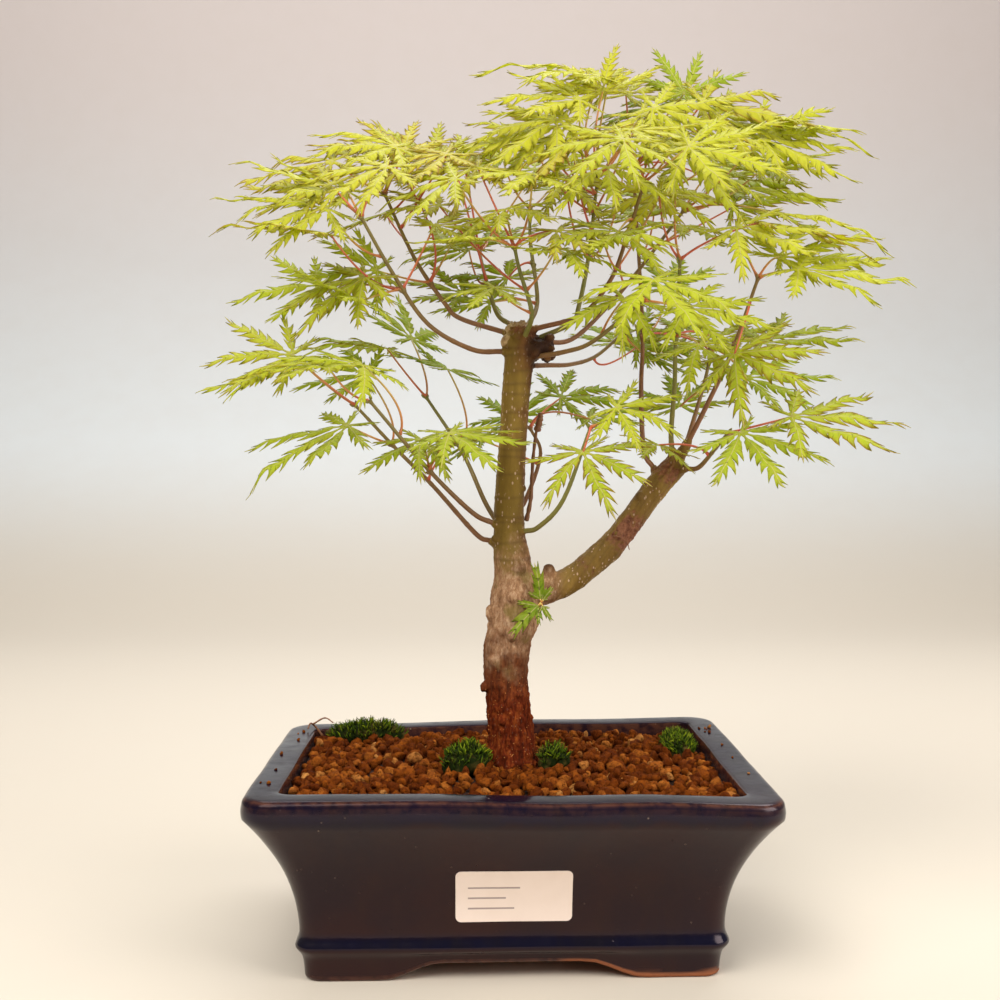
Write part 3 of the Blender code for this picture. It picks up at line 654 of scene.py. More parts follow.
def makeGrains(finish):
    rng = random.Random(soil["seed"])
    grains = scatterGrains(rng)
    grains.sort(key=lambda grain: grain[0].x)
    share = math.ceil(len(grains) / soil["heaps"])
    for heap in range(soil["heaps"]):
        bm = bmesh.new()
        tint = bm.verts.layers.float.new("tint")
        for middle, radius in grains[heap * share:(heap + 1) * share]:
            grainShape(bm, middle, radius, rng, tint)
        name = f"clay_grains_{heap + 1}"
        addPiece(name, closeMesh(name, bm), [finish], "akadama")
    print("soil grains:", len(grains))


grainTones = {
    # from the darkest grain to the palest: share of all grains and tone
    "lumps": ((0.0, (0.085, 0.015, 0.001)), (0.4, (0.175, 0.037, 0.003)), (0.75, (0.30, 0.075, 0.007)),
              (0.94, (0.45, 0.140, 0.020)), (1.0, (0.62, 0.27, 0.07))),
    # then mottling, painted shade for the pores and for the hollows, and a painted highlight for the high
    # points
    "mottle": (0.12, 0.028, 0.007), "poreShade": (0.06, 0.012, 0.002), "pitShade": (0.030, 0.006, 0.001),
    "peakHighlight": (0.40, 0.125, 0.020), "bed": (0.010, 0.003, 0.001), "bedPale": (0.045, 0.012, 0.003),
}


def grainFinish():
    clay = Finish("bakedClayGrain", 0.9)
    base = clay.ramp(clay.painted("tint"), *grainTones["lumps"])
    mottled = clay.noise(2.2, 5)
    base = clay.mix(clay.fade(mottled, 0.35, 0.7, 0, 0.6), base, grainTones["mottle"])
    pores = clay.fade(clay.cells(0.9), 0.05, 0.22)
    # the pores are darkened with painted shade
    base = clay.mix(pores, grainTones["poreShade"], base)
    crumbly = clay.noise(1.5, 6, rough=0.75)
    # hollows of the crumbly relief get painted shade
    base = clay.mix(clay.fade(crumbly, 0.36, 0.50, 0.75, 0.0), base, grainTones["pitShade"])
    # high points of the same relief get a painted highlight
    clay.colour(clay.mix(clay.fade(crumbly, 0.56, 0.72, 0.0, 0.45), base, grainTones["peakHighlight"]))
    clay.set("Specular IOR Level", 0.04)
    rough = clay.bump(crumbly, 1.6, 1.0)
    clay.set("Normal", clay.bump(pores, 0.22, 0.8, rough))
    return clay.material


def bedFinish():
    bed = Finish("soilBedShade", 0.95)
    # near-black painted shade for the gaps between the grains
    bed.colour(bed.mix(bed.noise(1.6, 5), grainTones["bed"], grainTones["bedPale"]))
    bed.set("Normal", bed.bump(bed.noise(1.2, 5), 0.6))
    return bed.material


tree = {
    "trunkX": 1.5, "trunkY": -3.2, "trunkHeight": 172.0, "trunkWidth": 17.8, "rootSpread": 1.4,
    "branchWidth": 10.7, "branchShare": 0.375, "branchGirth": 0.9,
    "shootWidth": 2.1, "shootTipWidth": 1.25, "collarProud": 1.2,
    "voxel": 0.55, "seed": 3,
}

# share of the height above the soil, sideways sway, girth as a multiple of the width
trunkLine = (
    (0.035, 0.0, 1.03), (0.12, -1.5, 0.96), (0.21, -2.5, 0.96), (0.28, -1.5, 1.02),
    (0.33, 0.8, 1.11), (0.39, 1.5, 1.10), (0.435, 0.6, 0.88), (0.48, -0.3, 0.80),
    (0.525, -1.0, 0.70), (0.60, -1.0, 0.66), (0.73, 0.3, 0.61), (0.83, 1.4, 0.61),
    (0.90, 2.5, 0.63), (0.96, 3.4, 0.66), (1.0, 3.7, 0.60),
)

# offsets from the fork along X and Z, girth multiple
branchLine = (
    (0, 0, 1.15), (12, 4, 1.12), (21, 7, 1.0), (35, 18, 0.96),
    (44, 28, 0.94), (52, 39, 0.90), (61, 50, 0.90), (65, 54, 0.84),
)

# each shoot: the wood it leaves, the share of that wood, its bends as offsets in mm, the
# shares of its length that carry leaves, and how red its bark is from 0, green, to 1
shoots = {
    "a": ("trunk", 0.94, ((-19, -4, 1), (-36, -12, 10), (-49, -22, 28), (-60, -30, 47)), (0.62, 1), 0.55),
    "b": ("trunk", 0.975, ((-24, 4, 8), (-30, 5, 14), (-42, 7, 32), (-54, 10, 58)), (0.48, 1), 0.6),
    "c": ("trunk", 0.985, ((-9, 12, 9), (-13, 22, 23), (-16, 34, 38)), (1,), 0.2),
    "d": ("trunk", 0.935, ((4, -14, 15), (-1, -21, 30), (-3, -24, 38)), (1,), 0.05),
    "f": ("trunk", 0.955, ((20, -2, 9), (23, -2, 16), (27, 0, 36), (31, 5, 68)), (1,), 0.1),
    "g": ("trunk", 0.985, ((23, -12, 6), (33, -18, 18), (38, -22, 31), (45, -26, 54)), (1,), 0.7),
    "h": ("trunk", 0.965, ((21, 9, 2), (37, 15, 17), (49, 18, 31), (68, 21, 56)), (1,), 0.65),
    "i": ("trunk", 0.925, ((17, -12, 2), (27, -24, 5), (43, -42, 18)), (1,), 0.5),
    "j": ("trunk", 0.91, ((12, 8, 1), (22, 16, 2), (33, 24, 6), (46, 36, 17)), (1,), 0.6),
    "k": ("branch", 0.88, ((-6, 7, 13), (-6, 15, 38), (-4, 26, 66), (-6, 40, 132)), (0.45, 1), 0.75),
    "l": ("branch", 0.96, ((-1, -2, 15), (0, -4, 33), (0, -6, 48), (1, -10, 81)), (0.60, 1), 0.15),
    "m": ("branch", 0.985, ((11, -10, 25), (18, -18, 43), (26, -27, 70)), (0.62, 1), 0.7),
    "o": ("branch", 0.95, ((9, -10, 1), (13, -18, 7), (17, -27, 14)), (1,), 0.5),
    "p": ("trunk", 0.53, ((-15, -8, 8), (-32, -18, 25), (-53, -30, 50)), (0.5, 1), 0.55),
    "q": ("trunk", 0.485, ((-14, -1, 7), (-31, 2, 26), (-45, 4, 40), (-62, 8, 58)), (0.72, 1), 0.6),
    "r": ("trunk", 0.50, ((-10, 13, 17), (-19, 22, 37), (-34, 32, 60)), (1,), 0.4),
    "t": ("trunk", 0.52, ((11, -10, 4), (20, -18, 15), (29, -30, 42)), (1,), 0.15),
    "e": ("trunk", 0.97, ((8, 24, 18), (6, 38, 44), (6, 46, 61)), (0.6, 1), 0.35),
    "n": ("branch", 0.97, ((7, 8, 12), (16, 20, 36), (19, 24, 48)), (1,), 0.6),
    "s": ("trunk", 0.57, ((7, 14, 5), (14, 26, 24), (10, 32, 35)), (1,), 0.8),
}


def soilAtTrunk():
    return soilHeight(tree["trunkX"], tree["trunkY"])


def trunkStations():
    base = soilAtTrunk()
    points = [Vector((tree["trunkX"], tree["trunkY"], base))]
    widths = [tree["trunkWidth"] + 2 * tree["rootSpread"]]
    for share, sway, girth in trunkLine:
        points.append(Vector((tree["trunkX"] + sway, tree["trunkY"], base + share * tree["trunkHeight"])))
        widths.append(girth * tree["trunkWidth"])
    return points, widths


def onTrunk(share):
    points, widths = trunkStations()
    z = points[0].z + share * tree["trunkHeight"]
    for i in range(len(points) - 1):
        if z <= points[i + 1].z or i == len(points) - 2:
            t = (z - points[i].z) / (points[i + 1].z - points[i].z)
            return points[i].lerp(points[i + 1], t), widths[i] + (widths[i + 1] - widths[i]) * t


def branchStations():
    fork, _ = onTrunk(tree["branchShare"])
    points = [fork + Vector((x, 0, z)) for x, z, _ in branchLine]
    return points, [girth * tree["branchWidth"] for _, _, girth in branchLine]


def woodAt(wood, share):
    if wood == "trunk":
        point, width = onTrunk(share)
        return point, Vector((0, 0, 1)), width
    points, _ = branchStations()
    point, step = along(points, share)
    return point, step, tree["branchWidth"] * tree["branchGirth"]


def shootAxis(name):
    wood, share, bends = shoots[name][:3]
    heart, grain, width = woodAt(wood, share)
    way = Vector(bends[0]).normalized()
    sine = max(way.cross(grain).length, 0.45)
    reach = width / 2 / sine + tree["collarProud"]
    start = heart + way * (reach + 0.3)
    return heart, reach, smoothLine([start] + [heart + Vector(bend) for bend in bends], 6)


# ridges that run from the trunk's foot into the soil: direction, reach and thickness
rootRidges = (
    (20, 11, 4.2), (85, 10, 3.6), (150, 12, 4.4), (205, 10.5, 4.4), (262, 10, 4.0), (320, 11.5, 3.8),
)

# soft swellings of the old bark: share of the height, direction and width
lowKnots = (
    (0.10, 250, 4.5), (0.16, 300, 4.0), (0.24, 215, 5.0), (0.30, 275, 5.5), (0.345, 200, 6.5),
    (0.36, 320, 5.5), (0.385, 260, 5.0), (0.27, 20, 5), (0.33, 110, 6.5), (0.2, 150, 5), (0.13, 60, 4.5),
)

# the burr beside the cut top: where on the trunk, its core's reaches and half widths, its knobs
burr = {
    "share": 0.945, "reaches": (-2, 1, 4, 6), "halfWidths": (3.6, 3.8, 3.2, 2.2), "back": -2,
    "knobs": 26, "knobSizes": (1.1, 1.9),
}

# places where young wood shows a ring: shares of the trunk's height and mm along the branch
trunkRings = (0.47, 0.505, 0.55, 0.565, 0.61, 0.66, 0.70, 0.72, 0.765, 0.80, 0.845, 0.87, 0.895, 0.93, 0.95)
branchRings = (17, 24, 27, 33, 38, 41, 47, 50, 55, 59)

# torn places on the branch: share of its length, which way they face and their size
tornPlaces = (
    (0.60, (0.35, -0.75, -0.15), 7.5), (0.36, (0.2, -1, 0.2), 4.0), (0.93, (-0.1, -1, 0.4), 5.0),
    (0.83, (-0.2, -1, 0.3), 3.6),
)

# each cut or knot: its name, the wood it is on, where along it, which way it points,
# its width and how proud it stands
stubs = (
    ("top_stub", "trunk", 0.95, (-0.75, -0.55, 0.35), 5.5, 3.0),
    ("small_stub", "trunk", 0.985, (-0.8, -0.5, 0.2), 3.0, 1.6),
    ("burr", "trunk", 0.945, (0.9, 0.12, 0.1), 7.5, 1.8),
    ("knot", "trunk", 0.17, (-1.0, -0.3, 0.1), 4.2, 1.9),
    ("fork_stub", "branch", 0.17, (-0.1, -0.35, 1.0), 4.6, 4.2),
    ("scar", "trunk", 0.445, (0.35, -1.0, 0.1), 5.0, 0.9),
    ("spur", "trunk", 0.50, (-0.9, -0.5, 0.4), 3.2, 1.8),
    ("node", "trunk", 0.62, (0.9, -0.5, 0.3), 3.0, 1.1),
    ("ring", "trunk", 0.74, (-0.9, -0.4, 0.3), 3.2, 1.0),
    ("eye", "branch", 0.55, (0.2, -1.0, 0.3), 3.4, 0.9),
    ("heel", "branch", 0.76, (-0.6, -0.8, 0.6), 3.2, 1.2),
)


def smoothGirths(widths, steps):
    # half widths in metres that match the points of a smooth line
    return [w.x / 2 * mm for w in smoothLine([Vector((w, 0, 0)) for w in widths], steps)]


def addStems(wood):
    points, widths = trunkStations()
    axis = [point * mm for point in smoothLine(points, 5)]
    girths = smoothGirths(widths, 5)
    axis[0] = (points[0] - Vector((0, 0, 10))) * mm
    girths[0] *= 1.05
    sweep(wood, axis, girths, 48)
    addRoots(wood, points[0])
    line, widths = branchStations()
    sweep(wood, [p * mm for p in smoothLine(line, 4)], smoothGirths(widths, 4), 36)


def addRoots(wood, base):
    for turn, reach, thick in rootRidges:
        way = flatWay(turn)
        line = [base + way * 3 + Vector((0, 0, 15)), base + way * 6.2 + Vector((0, 0, 7)),
                base + way * 8.2 + Vector((0, 0, 1)), base + way * reach + Vector((0, 0, -5))]
        line = [p * mm for p in smoothLine(line, 4)]
        sweep(wood, line, [thick * 0.72 * mm] * len(line), 14)


def addCollars(wood):
    # the bark swells up around the foot of each shoot
    half = tree["shootWidth"] / 2
    for name in sorted(shoots):
        heart, reach, shootLine = shootAxis(name)
        way = (shootLine[0] - heart).normalized()
        collar = ((-reach, 2.1), (-2.4, 1.9), (-0.8, 1.6), (0.9, 1.02))  # how far past the bark, how swollen
        bits = [heart + way * (reach + past) for past, _ in collar]
        sweep(wood, [p * mm for p in bits], [half * swell * mm for _, swell in collar], 18)


def addStubs(wood):
    for _, grownOn, share, way, width, proud in stubs:
        heart, _, girth = woodAt(grownOn, share)
        way = Vector(way).normalized()
        edge = girth / 2
        bits = [heart, heart + way * (edge + proud * 0.55), heart + way * (edge + proud)]
        sweep(wood, [p * mm for p in bits], [width * part * mm for part in (0.62, 0.54, 0.42)], 20)


def addKnots(wood, rng):
    for share, turn, width in lowKnots:
        heart, girth = onTrunk(share)
        way = flatWay(turn)
        spot = (heart + way * (girth / 2 - width * 0.22)) * mm
        lump = bmesh.ops.create_icosphere(wood, subdivisions=3, radius=width / 2 * mm)["verts"]
        squash = Vector((rng.uniform(0.8, 1.2), rng.uniform(0.8, 1.2), rng.uniform(0.8, 1.5)))
        for vert in lump:
            vert.co = spot + vert.co * squash


def addBurr(wood, rng):
    # a crowd of small dark knobs
    heart, girth = onTrunk(burr["share"])
    core = [(heart + Vector((girth / 2 + reach, burr["back"], 0.5 + reach * 0.2))) * mm
            for reach in burr["reaches"]]
    sweep(wood, core, [half * mm for half in burr["halfWidths"]], 20)
    for _ in range(burr["knobs"]):
        spot = heart + Vector((girth / 2 + rng.uniform(-0.5, 6.5), burr["back"] + rng.uniform(-4.4, 3),
                               rng.uniform(-3.6, 5.2)))
        bmesh.ops.create_icosphere(wood, subdivisions=2, radius=rng.uniform(*burr["knobSizes"]) * mm,
                                   matrix=Matrix.Translation(spot * mm))


def makeWood(finish):
    # trunk, branch, collars, cuts, knots and burr grown into one skin
    wood = bmesh.new()
    rng = random.Random(tree["seed"])
    addStems(wood)
    addCollars(wood)
    addStubs(wood)
    addKnots(wood, rng)
    addBurr(wood, rng)
    piece = addPiece("maple_trunk", closeMesh("maple_trunk", wood), [finish], "bark", "trunk")
    skin = piece.modifiers.new("skin", "REMESH")
    skin.mode = "VOXEL"
    skin.voxel_size = tree["voxel"] * mm
    soften = piece.modifiers.new("soften", "SMOOTH")
    soften.iterations = 5
    soften.factor = 0.5
    bpy.context.view_layer.objects.active = piece
    bpy.context.view_layer.update()
    for name in ("skin", "soften"):
        bpy.ops.object.modifier_apply(modifier=name)
    weatherWood(piece.data)
    piece.data.shade_smooth()
    print("wood faces:", len(piece.data.polygons))


weathering = {
    # shares of the trunk's height where old and deeply cracked bark end, and over how much they fade
    "oldUpTo": 0.46, "oldFade": 0.10, "deepUpTo": 0.20, "deepFade": 0.14,
    # mm from the fork where the branch's own bark starts, and over how many it fades in
    "branchFrom": 9, "branchFade": 6,
    # relief in mm on old bark, more on its deeply cracked foot, and on young wood
    "plates": 0.85, "creases": 0.42, "grain": 0.30, "deepCreases": 0.5, "deepFlakes": 0.35,
    "rings": 0.16, "ringWidth": 0.55, "torn": 0.30,
}


def weatherWood(mesh):
    # carve the bark: deep plates low down, finer creases higher up, ring scars on young wood
    points, _ = trunkStations()
    base, top = points[0].z, points[-1].z
    paint = {key: [0.0] * len(mesh.vertices) for key in ("ringScar", "cutWood", "burrShade", "wound")}
    branch, _ = branchStations()
    wounds = [(along(branch, share)[0], Vector(way).normalized(), size) for share, way, size in tornPlaces]
    wounds.append((onTrunk(0.99)[0], Vector((0.2, -1, 0)), 5.0))
    cuts = []  # name, middle of the cut face, its way and width
    for name, grownOn, share, way, width, proud in stubs:
        heart, _, girth = woodAt(grownOn, share)
        way = Vector(way).normalized()
        cuts.append((name, heart + way * (girth / 2 + proud), way, width))
    rings = [base + share * tree["trunkHeight"] for share in trunkRings]
    fork = branch[0]
    normals = [vert.normal.copy() for vert in mesh.vertices]
    cutTop = top - 1.2
    for i, vert in enumerate(mesh.vertices):
        spot = vert.co / mm
        out = normals[i]
        share = (spot.z - base) / (top - base)
        onBranch = clamp((spot.x - fork.x - weathering["branchFrom"]) / weathering["branchFade"])
        old = clamp((weathering["oldUpTo"] - share) / weathering["oldFade"])
        old = old * (1 - onBranch) + onBranch * 0.25
        deep = clamp((weathering["deepUpTo"] - share) / weathering["deepFade"]) * (1 - onBranch)
        long = Vector((spot.x, spot.y, spot.z * 0.35))
        plates = noise.noise(long * 0.26 + Vector((3, 1, 7)))
        creases = abs(noise.noise(long * 0.62)) * 2 - 0.5
        grain = noise.noise(Vector((spot.x, spot.y, spot.z * 0.55)) * 1.5)
        fine = noise.noise(spot * 3.1)
        push = old * (plates * weathering["plates"] + creases * weathering["creases"]
                      + grain * weathering["grain"])
        push += deep * (creases * weathering["deepCreases"] + fine * weathering["deepFlakes"])
        push += (1 - old) * (plates * 0.22 + grain * 0.10) + fine * 0.07
        ring = 0.0
        if share > 0.45 and not onBranch:
            for k, z in enumerate(rings):
                lean = z + 0.5 * math.sin(math.atan2(spot.y - tree["trunkY"], spot.x) + k * 1.7)
                ring = max(ring, math.exp(-((spot.z - lean) / weathering["ringWidth"]) ** 2))
        if onBranch:
            for x in branchRings:
                past = spot.x - fork.x - x - (spot.z - fork.z - x * 0.6) * 0.7
                ring = max(ring, math.exp(-(past / 0.6) ** 2) * 0.8)
        push += ring * weathering["rings"]
        fresh, dark = 0.0, 0.0
        for name, place, way, width in cuts:
            gap = spot - place
            size = width * (1.35 if name == "burr" else 0.75)
            if gap.length < size:
                near = 1 - gap.length / size
                if name == "burr":
                    dark = max(dark, min(1.0, near * 3))
                    push += near * noise.noise(spot * 0.9) * 1.4
                elif out.dot(way) > 0.45 and name in ("top_stub", "small_stub"):
                    fresh = max(fresh, min(1.0, near * 2.4))
                    push -= near * 0.5
                else:
                    dark = max(dark, near * (1.1 if name == "fork_stub" else 0.5))
        if share > 0.965 and not onBranch and out.z > 0.5 and spot.z > cutTop - 1:
            fresh = 0.7
            push += noise.noise(Vector((spot.x, spot.y, 0)) * 0.9) * 1.3
        torn = 0.0
        for place, way, size in wounds:
            gap = spot - place
            if gap.length < size * 1.4 and out.dot(way) > 0.35:
                edge = 1 - gap.length / (size * 1.4) + noise.noise(spot * 0.8) * 0.35
                torn = max(torn, min(1.0, max(0.0, edge) * 3))
        push -= torn * (weathering["torn"] + 0.5 * noise.noise(spot * 1.1))
        paint["wound"][i] = torn
        vert.co = (spot + out * push) * mm
        paint["ringScar"][i] = ring
        paint["cutWood"][i] = fresh
        paint["burrShade"][i] = dark
    for key, values in paint.items():
        mesh.attributes.new(key, "FLOAT", "POINT").data.foreach_set("value", values)
    mesh.update()


barkTones = {
    # ramps hold a share of the pattern and its tone, from the creases to the ridges
    "foot": ((0.30, (0.020, 0.004, 0.001)), (0.50, (0.110, 0.015, 0.003)), (0.70, (0.27, 0.062, 0.011))),
    "aboveFoot": ((0.3, (0.035, 0.011, 0.004)), (0.7, (0.20, 0.080, 0.034))),
    "middle": ((0.30, (0.14, 0.066, 0.032)), (0.50, (0.35, 0.190, 0.100)), (0.70, (0.60, 0.41, 0.26))),
    "mossy": (0.20, 0.150, 0.040),
    "olive": ((0.3, (0.125, 0.070, 0.010)), (0.5, (0.200, 0.122, 0.018)), (0.7, (0.29, 0.182, 0.032))),
    "brown": ((0.3, (0.085, 0.028, 0.008)), (0.7, (0.235, 0.105, 0.028))),
    "ring": (0.060, 0.026, 0.010), "breathingMark": (0.60, 0.42, 0.30), "glint": (0.56, 0.24, 0.07),
    "burr": (0.045, 0.016, 0.008),
    "torn": ((0.3, (0.10, 0.028, 0.012)), (0.7, (0.30, 0.120, 0.060))),
    "cut": ((0.3, (0.30, 0.165, 0.070)), (0.7, (0.60, 0.44, 0.24))),
}


def barkFinish():
    # three zones up the trunk: red flaking foot, grey middle, smooth olive and brown young wood
    bark = Finish("mapleBark", 0.8)
    rise, across = bark.place(), bark.place("X")
    long = bark.stretch(1, 1, 0.28)
    foot = bark.ramp(bark.noise(1.9, 6, long, 0.7), *barkTones["foot"])
    faded = bark.fade(rise, 0.088, 0.110, 0, 0.7)
    foot = bark.mix(faded, foot, bark.ramp(bark.noise(2.4, 6, long, 0.7), *barkTones["aboveFoot"]))
    middle = bark.ramp(bark.noise(1.5, 6, bark.stretch(1, 1, 0.42), 0.72), *barkTones["middle"])
    moist = bark.fade(bark.noise(10, 4), 0.50, 0.64)
    middle = bark.mix(bark.times(moist, 0.65), middle, barkTones["mossy"])
    olive = bark.ramp(bark.noise(7, 5, bark.stretch(1, 1, 0.18), 0.6), *barkTones["olive"])
    brown = bark.ramp(bark.noise(4, 5, bark.stretch(1, 1, 0.2), 0.6), *barkTones["brown"])
    wavering = bark.fade(bark.noise(9, 3), 0.3, 0.7, -0.003, 0.003)
    right = bark.fade(bark.plus(across, wavering), 0.002, 0.010)  # the side that has turned brown
    turned = bark.times(right, bark.fade(across, 0.016, 0.022, 1.0, 0.25))
    high = bark.mix(turned, olive, brown)
    edge = bark.plus(rise, bark.fade(bark.noise(8, 5), 0.3, 0.7, -0.007, 0.007))
    onStem = bark.fade(across, 0.014, 0.024, 1.0, 0.0)
    tone = bark.mix(bark.fade(edge, 0.101, 0.123), foot, middle)
    upper = bark.most(bark.fade(edge, 0.143, 0.158), bark.reckon("SUBTRACT", 1.0, onStem))
    tone = bark.mix(upper, tone, high)
    ring = bark.painted("ringScar")
    tone = bark.mix(bark.times(ring, 0.30), tone, barkTones["ring"])
    # pale raised breathing marks, thickest just above the old bark
    marks = bark.fade(bark.cells(1.5, coords=bark.stretch(1, 1, 0.55)), 0.16, 0.28, 1.0, 0.0)
    crowd = bark.fade(bark.noise(6, 3), 0.36, 0.58)
    marks = bark.times(marks, bark.times(crowd, bark.fade(rise, 0.17, 0.235, 1.0, 0.35)))
    shown = bark.fade(upper, 0, 1, 0.06, 0.85)
    tone = bark.mix(bark.times(marks, shown), tone, barkTones["breathingMark"])
    glints = bark.fade(bark.cells(1.6), 0.07, 0.17, 0.85, 0.0)
    glints = bark.times(glints, bark.fade(rise, 0.095, 0.115, 1.0, 0.0))
    tone = bark.mix(glints, tone, barkTones["glint"])
    tone = bark.mix(bark.painted("burrShade"), tone, barkTones["burr"])
    torn = bark.ramp(bark.noise(1.4, 5), *barkTones["torn"])
    tone = bark.mix(bark.painted("wound"), tone, torn)
    fresh = bark.ramp(bark.noise(1.6, 5), *barkTones["cut"])
    bark.colour(bark.mix(bark.painted("cutWood"), tone, fresh))
    bark.set("Roughness", bark.fade(upper, 0.0, 1.0, 0.88, 0.50))
    bark.set("Specular IOR Level", bark.fade(upper, 0.0, 1.0, 0.08, 0.22))
    coarse = bark.bump(bark.noise(1.8, 6, bark.stretch(1, 1, 0.4), 0.72), 0.55, 0.9)
    coarse = bark.bump(marks, 0.16, 0.8, coarse)
    bark.set("Normal", bark.bump(bark.noise(0.6, 4), 0.10, 0.6, coarse))
    return bark.material


leafPlan = {
    "lobeShares": ((126, 0.36), (82, 0.68), (40, 0.92), (0, 1.0)),
    "halfWidth": 0.124, "neck": 0.012, "neckEnd": 0.14, "lobules": 6,
    "cut": 0.80, "thickness": 0.20, "droop": 0.11, "scale": 1.10,
    "towardFront": (0.16, 0.80), "outward": -0.04, "scatter": 0.20,
    "stalkWidth": 0.95, "stalkFoot": 1.7,
}

# shoot, node on it, offset of the blade's heart from that node, heading, middle lobe's
# length and how much painted shade the leaf gets, more for inner leaves, from 0 to 1
framedLeaves = (
    ("a", 0, (-26, -8, 19), 184, 44, 0.1), ("a", 0, (12, 0, 24), 30, 30, 0.2),
    ("a", 1, (-12, 10, 14), 150, 34, 0.1), ("b", 0, (-20, -12, 3), 196, 34, 0.5),
    ("b", 1, (-20, -4, 12), 176, 42, 0.0), ("b", 1, (8, 2, 18), 118, 34, 0.1),
    ("b", 0, (8, 9, 16), 62, 32, 0.3), ("c", 0, (-6, 4, 36), 64, 34, 0.1),
    ("c", 0, (4, 12, 6), 80, 34, 0.5), ("d", 0, (-22, -8, 24), 188, 34, 0.1),
    ("d", 0, (6, -8, 26), 262, 34, 0.1), ("f", 0, (-12, -13, 17), 190, 44, 0.1),
    ("f", 0, (13, 6, 20), 335, 36, 0.0), ("f", 0, (2, 8, 42), 172, 46, 0.0),
    ("g", 0, (-10, -16, 12), 236, 36, 0.2), ("g", 0, (14, -14, 10), 312, 38, 0.1),
    ("h", 0, (24, 2, 10), 8, 46, 0.1), ("i", 0, (2, -12, 6), 282, 38, 0.3),
    ("j", 0, (10, 8, -8), 40, 36, 0.6), ("k", 1, (50, -20, 18), 4, 50, 0.1),
    ("k", 1, (38, 26, 2), 14, 44, 0.2), ("k", 1, (-4, -6, 30), 60, 34, 0.1),
    ("l", 1, (30, -4, 14), 352, 46, 0.1), ("l", 1, (-9, -5, 25), 208, 32, 0.1),
    ("m", 1, (14, -4, 3), 340, 44, 0.1), ("m", 1, (14, 24, 12), 24, 40, 0.2),
    ("m", 0, (14, 16, 2), 12, 38, 0.4), ("o", 0, (22, -8, 6), 352, 42, 0.2),
    ("o", 0, (2, -12, 0), 290, 34, 0.3), ("p", 1, (-15, -6, 13), 196, 36, 0.1),
    ("p", 0, (8, -10, 14), 300, 32, 0.3), ("q", 1, (-22, -6, 18), 180, 42, 0.1),
    ("q", 0, (-16, -14, 7), 205, 40, 0.4), ("r", 0, (-16, -2, 20), 160, 38, 0.3),
    ("t", 0, (-3, -3, -9), 268, 34, 0.2),
)
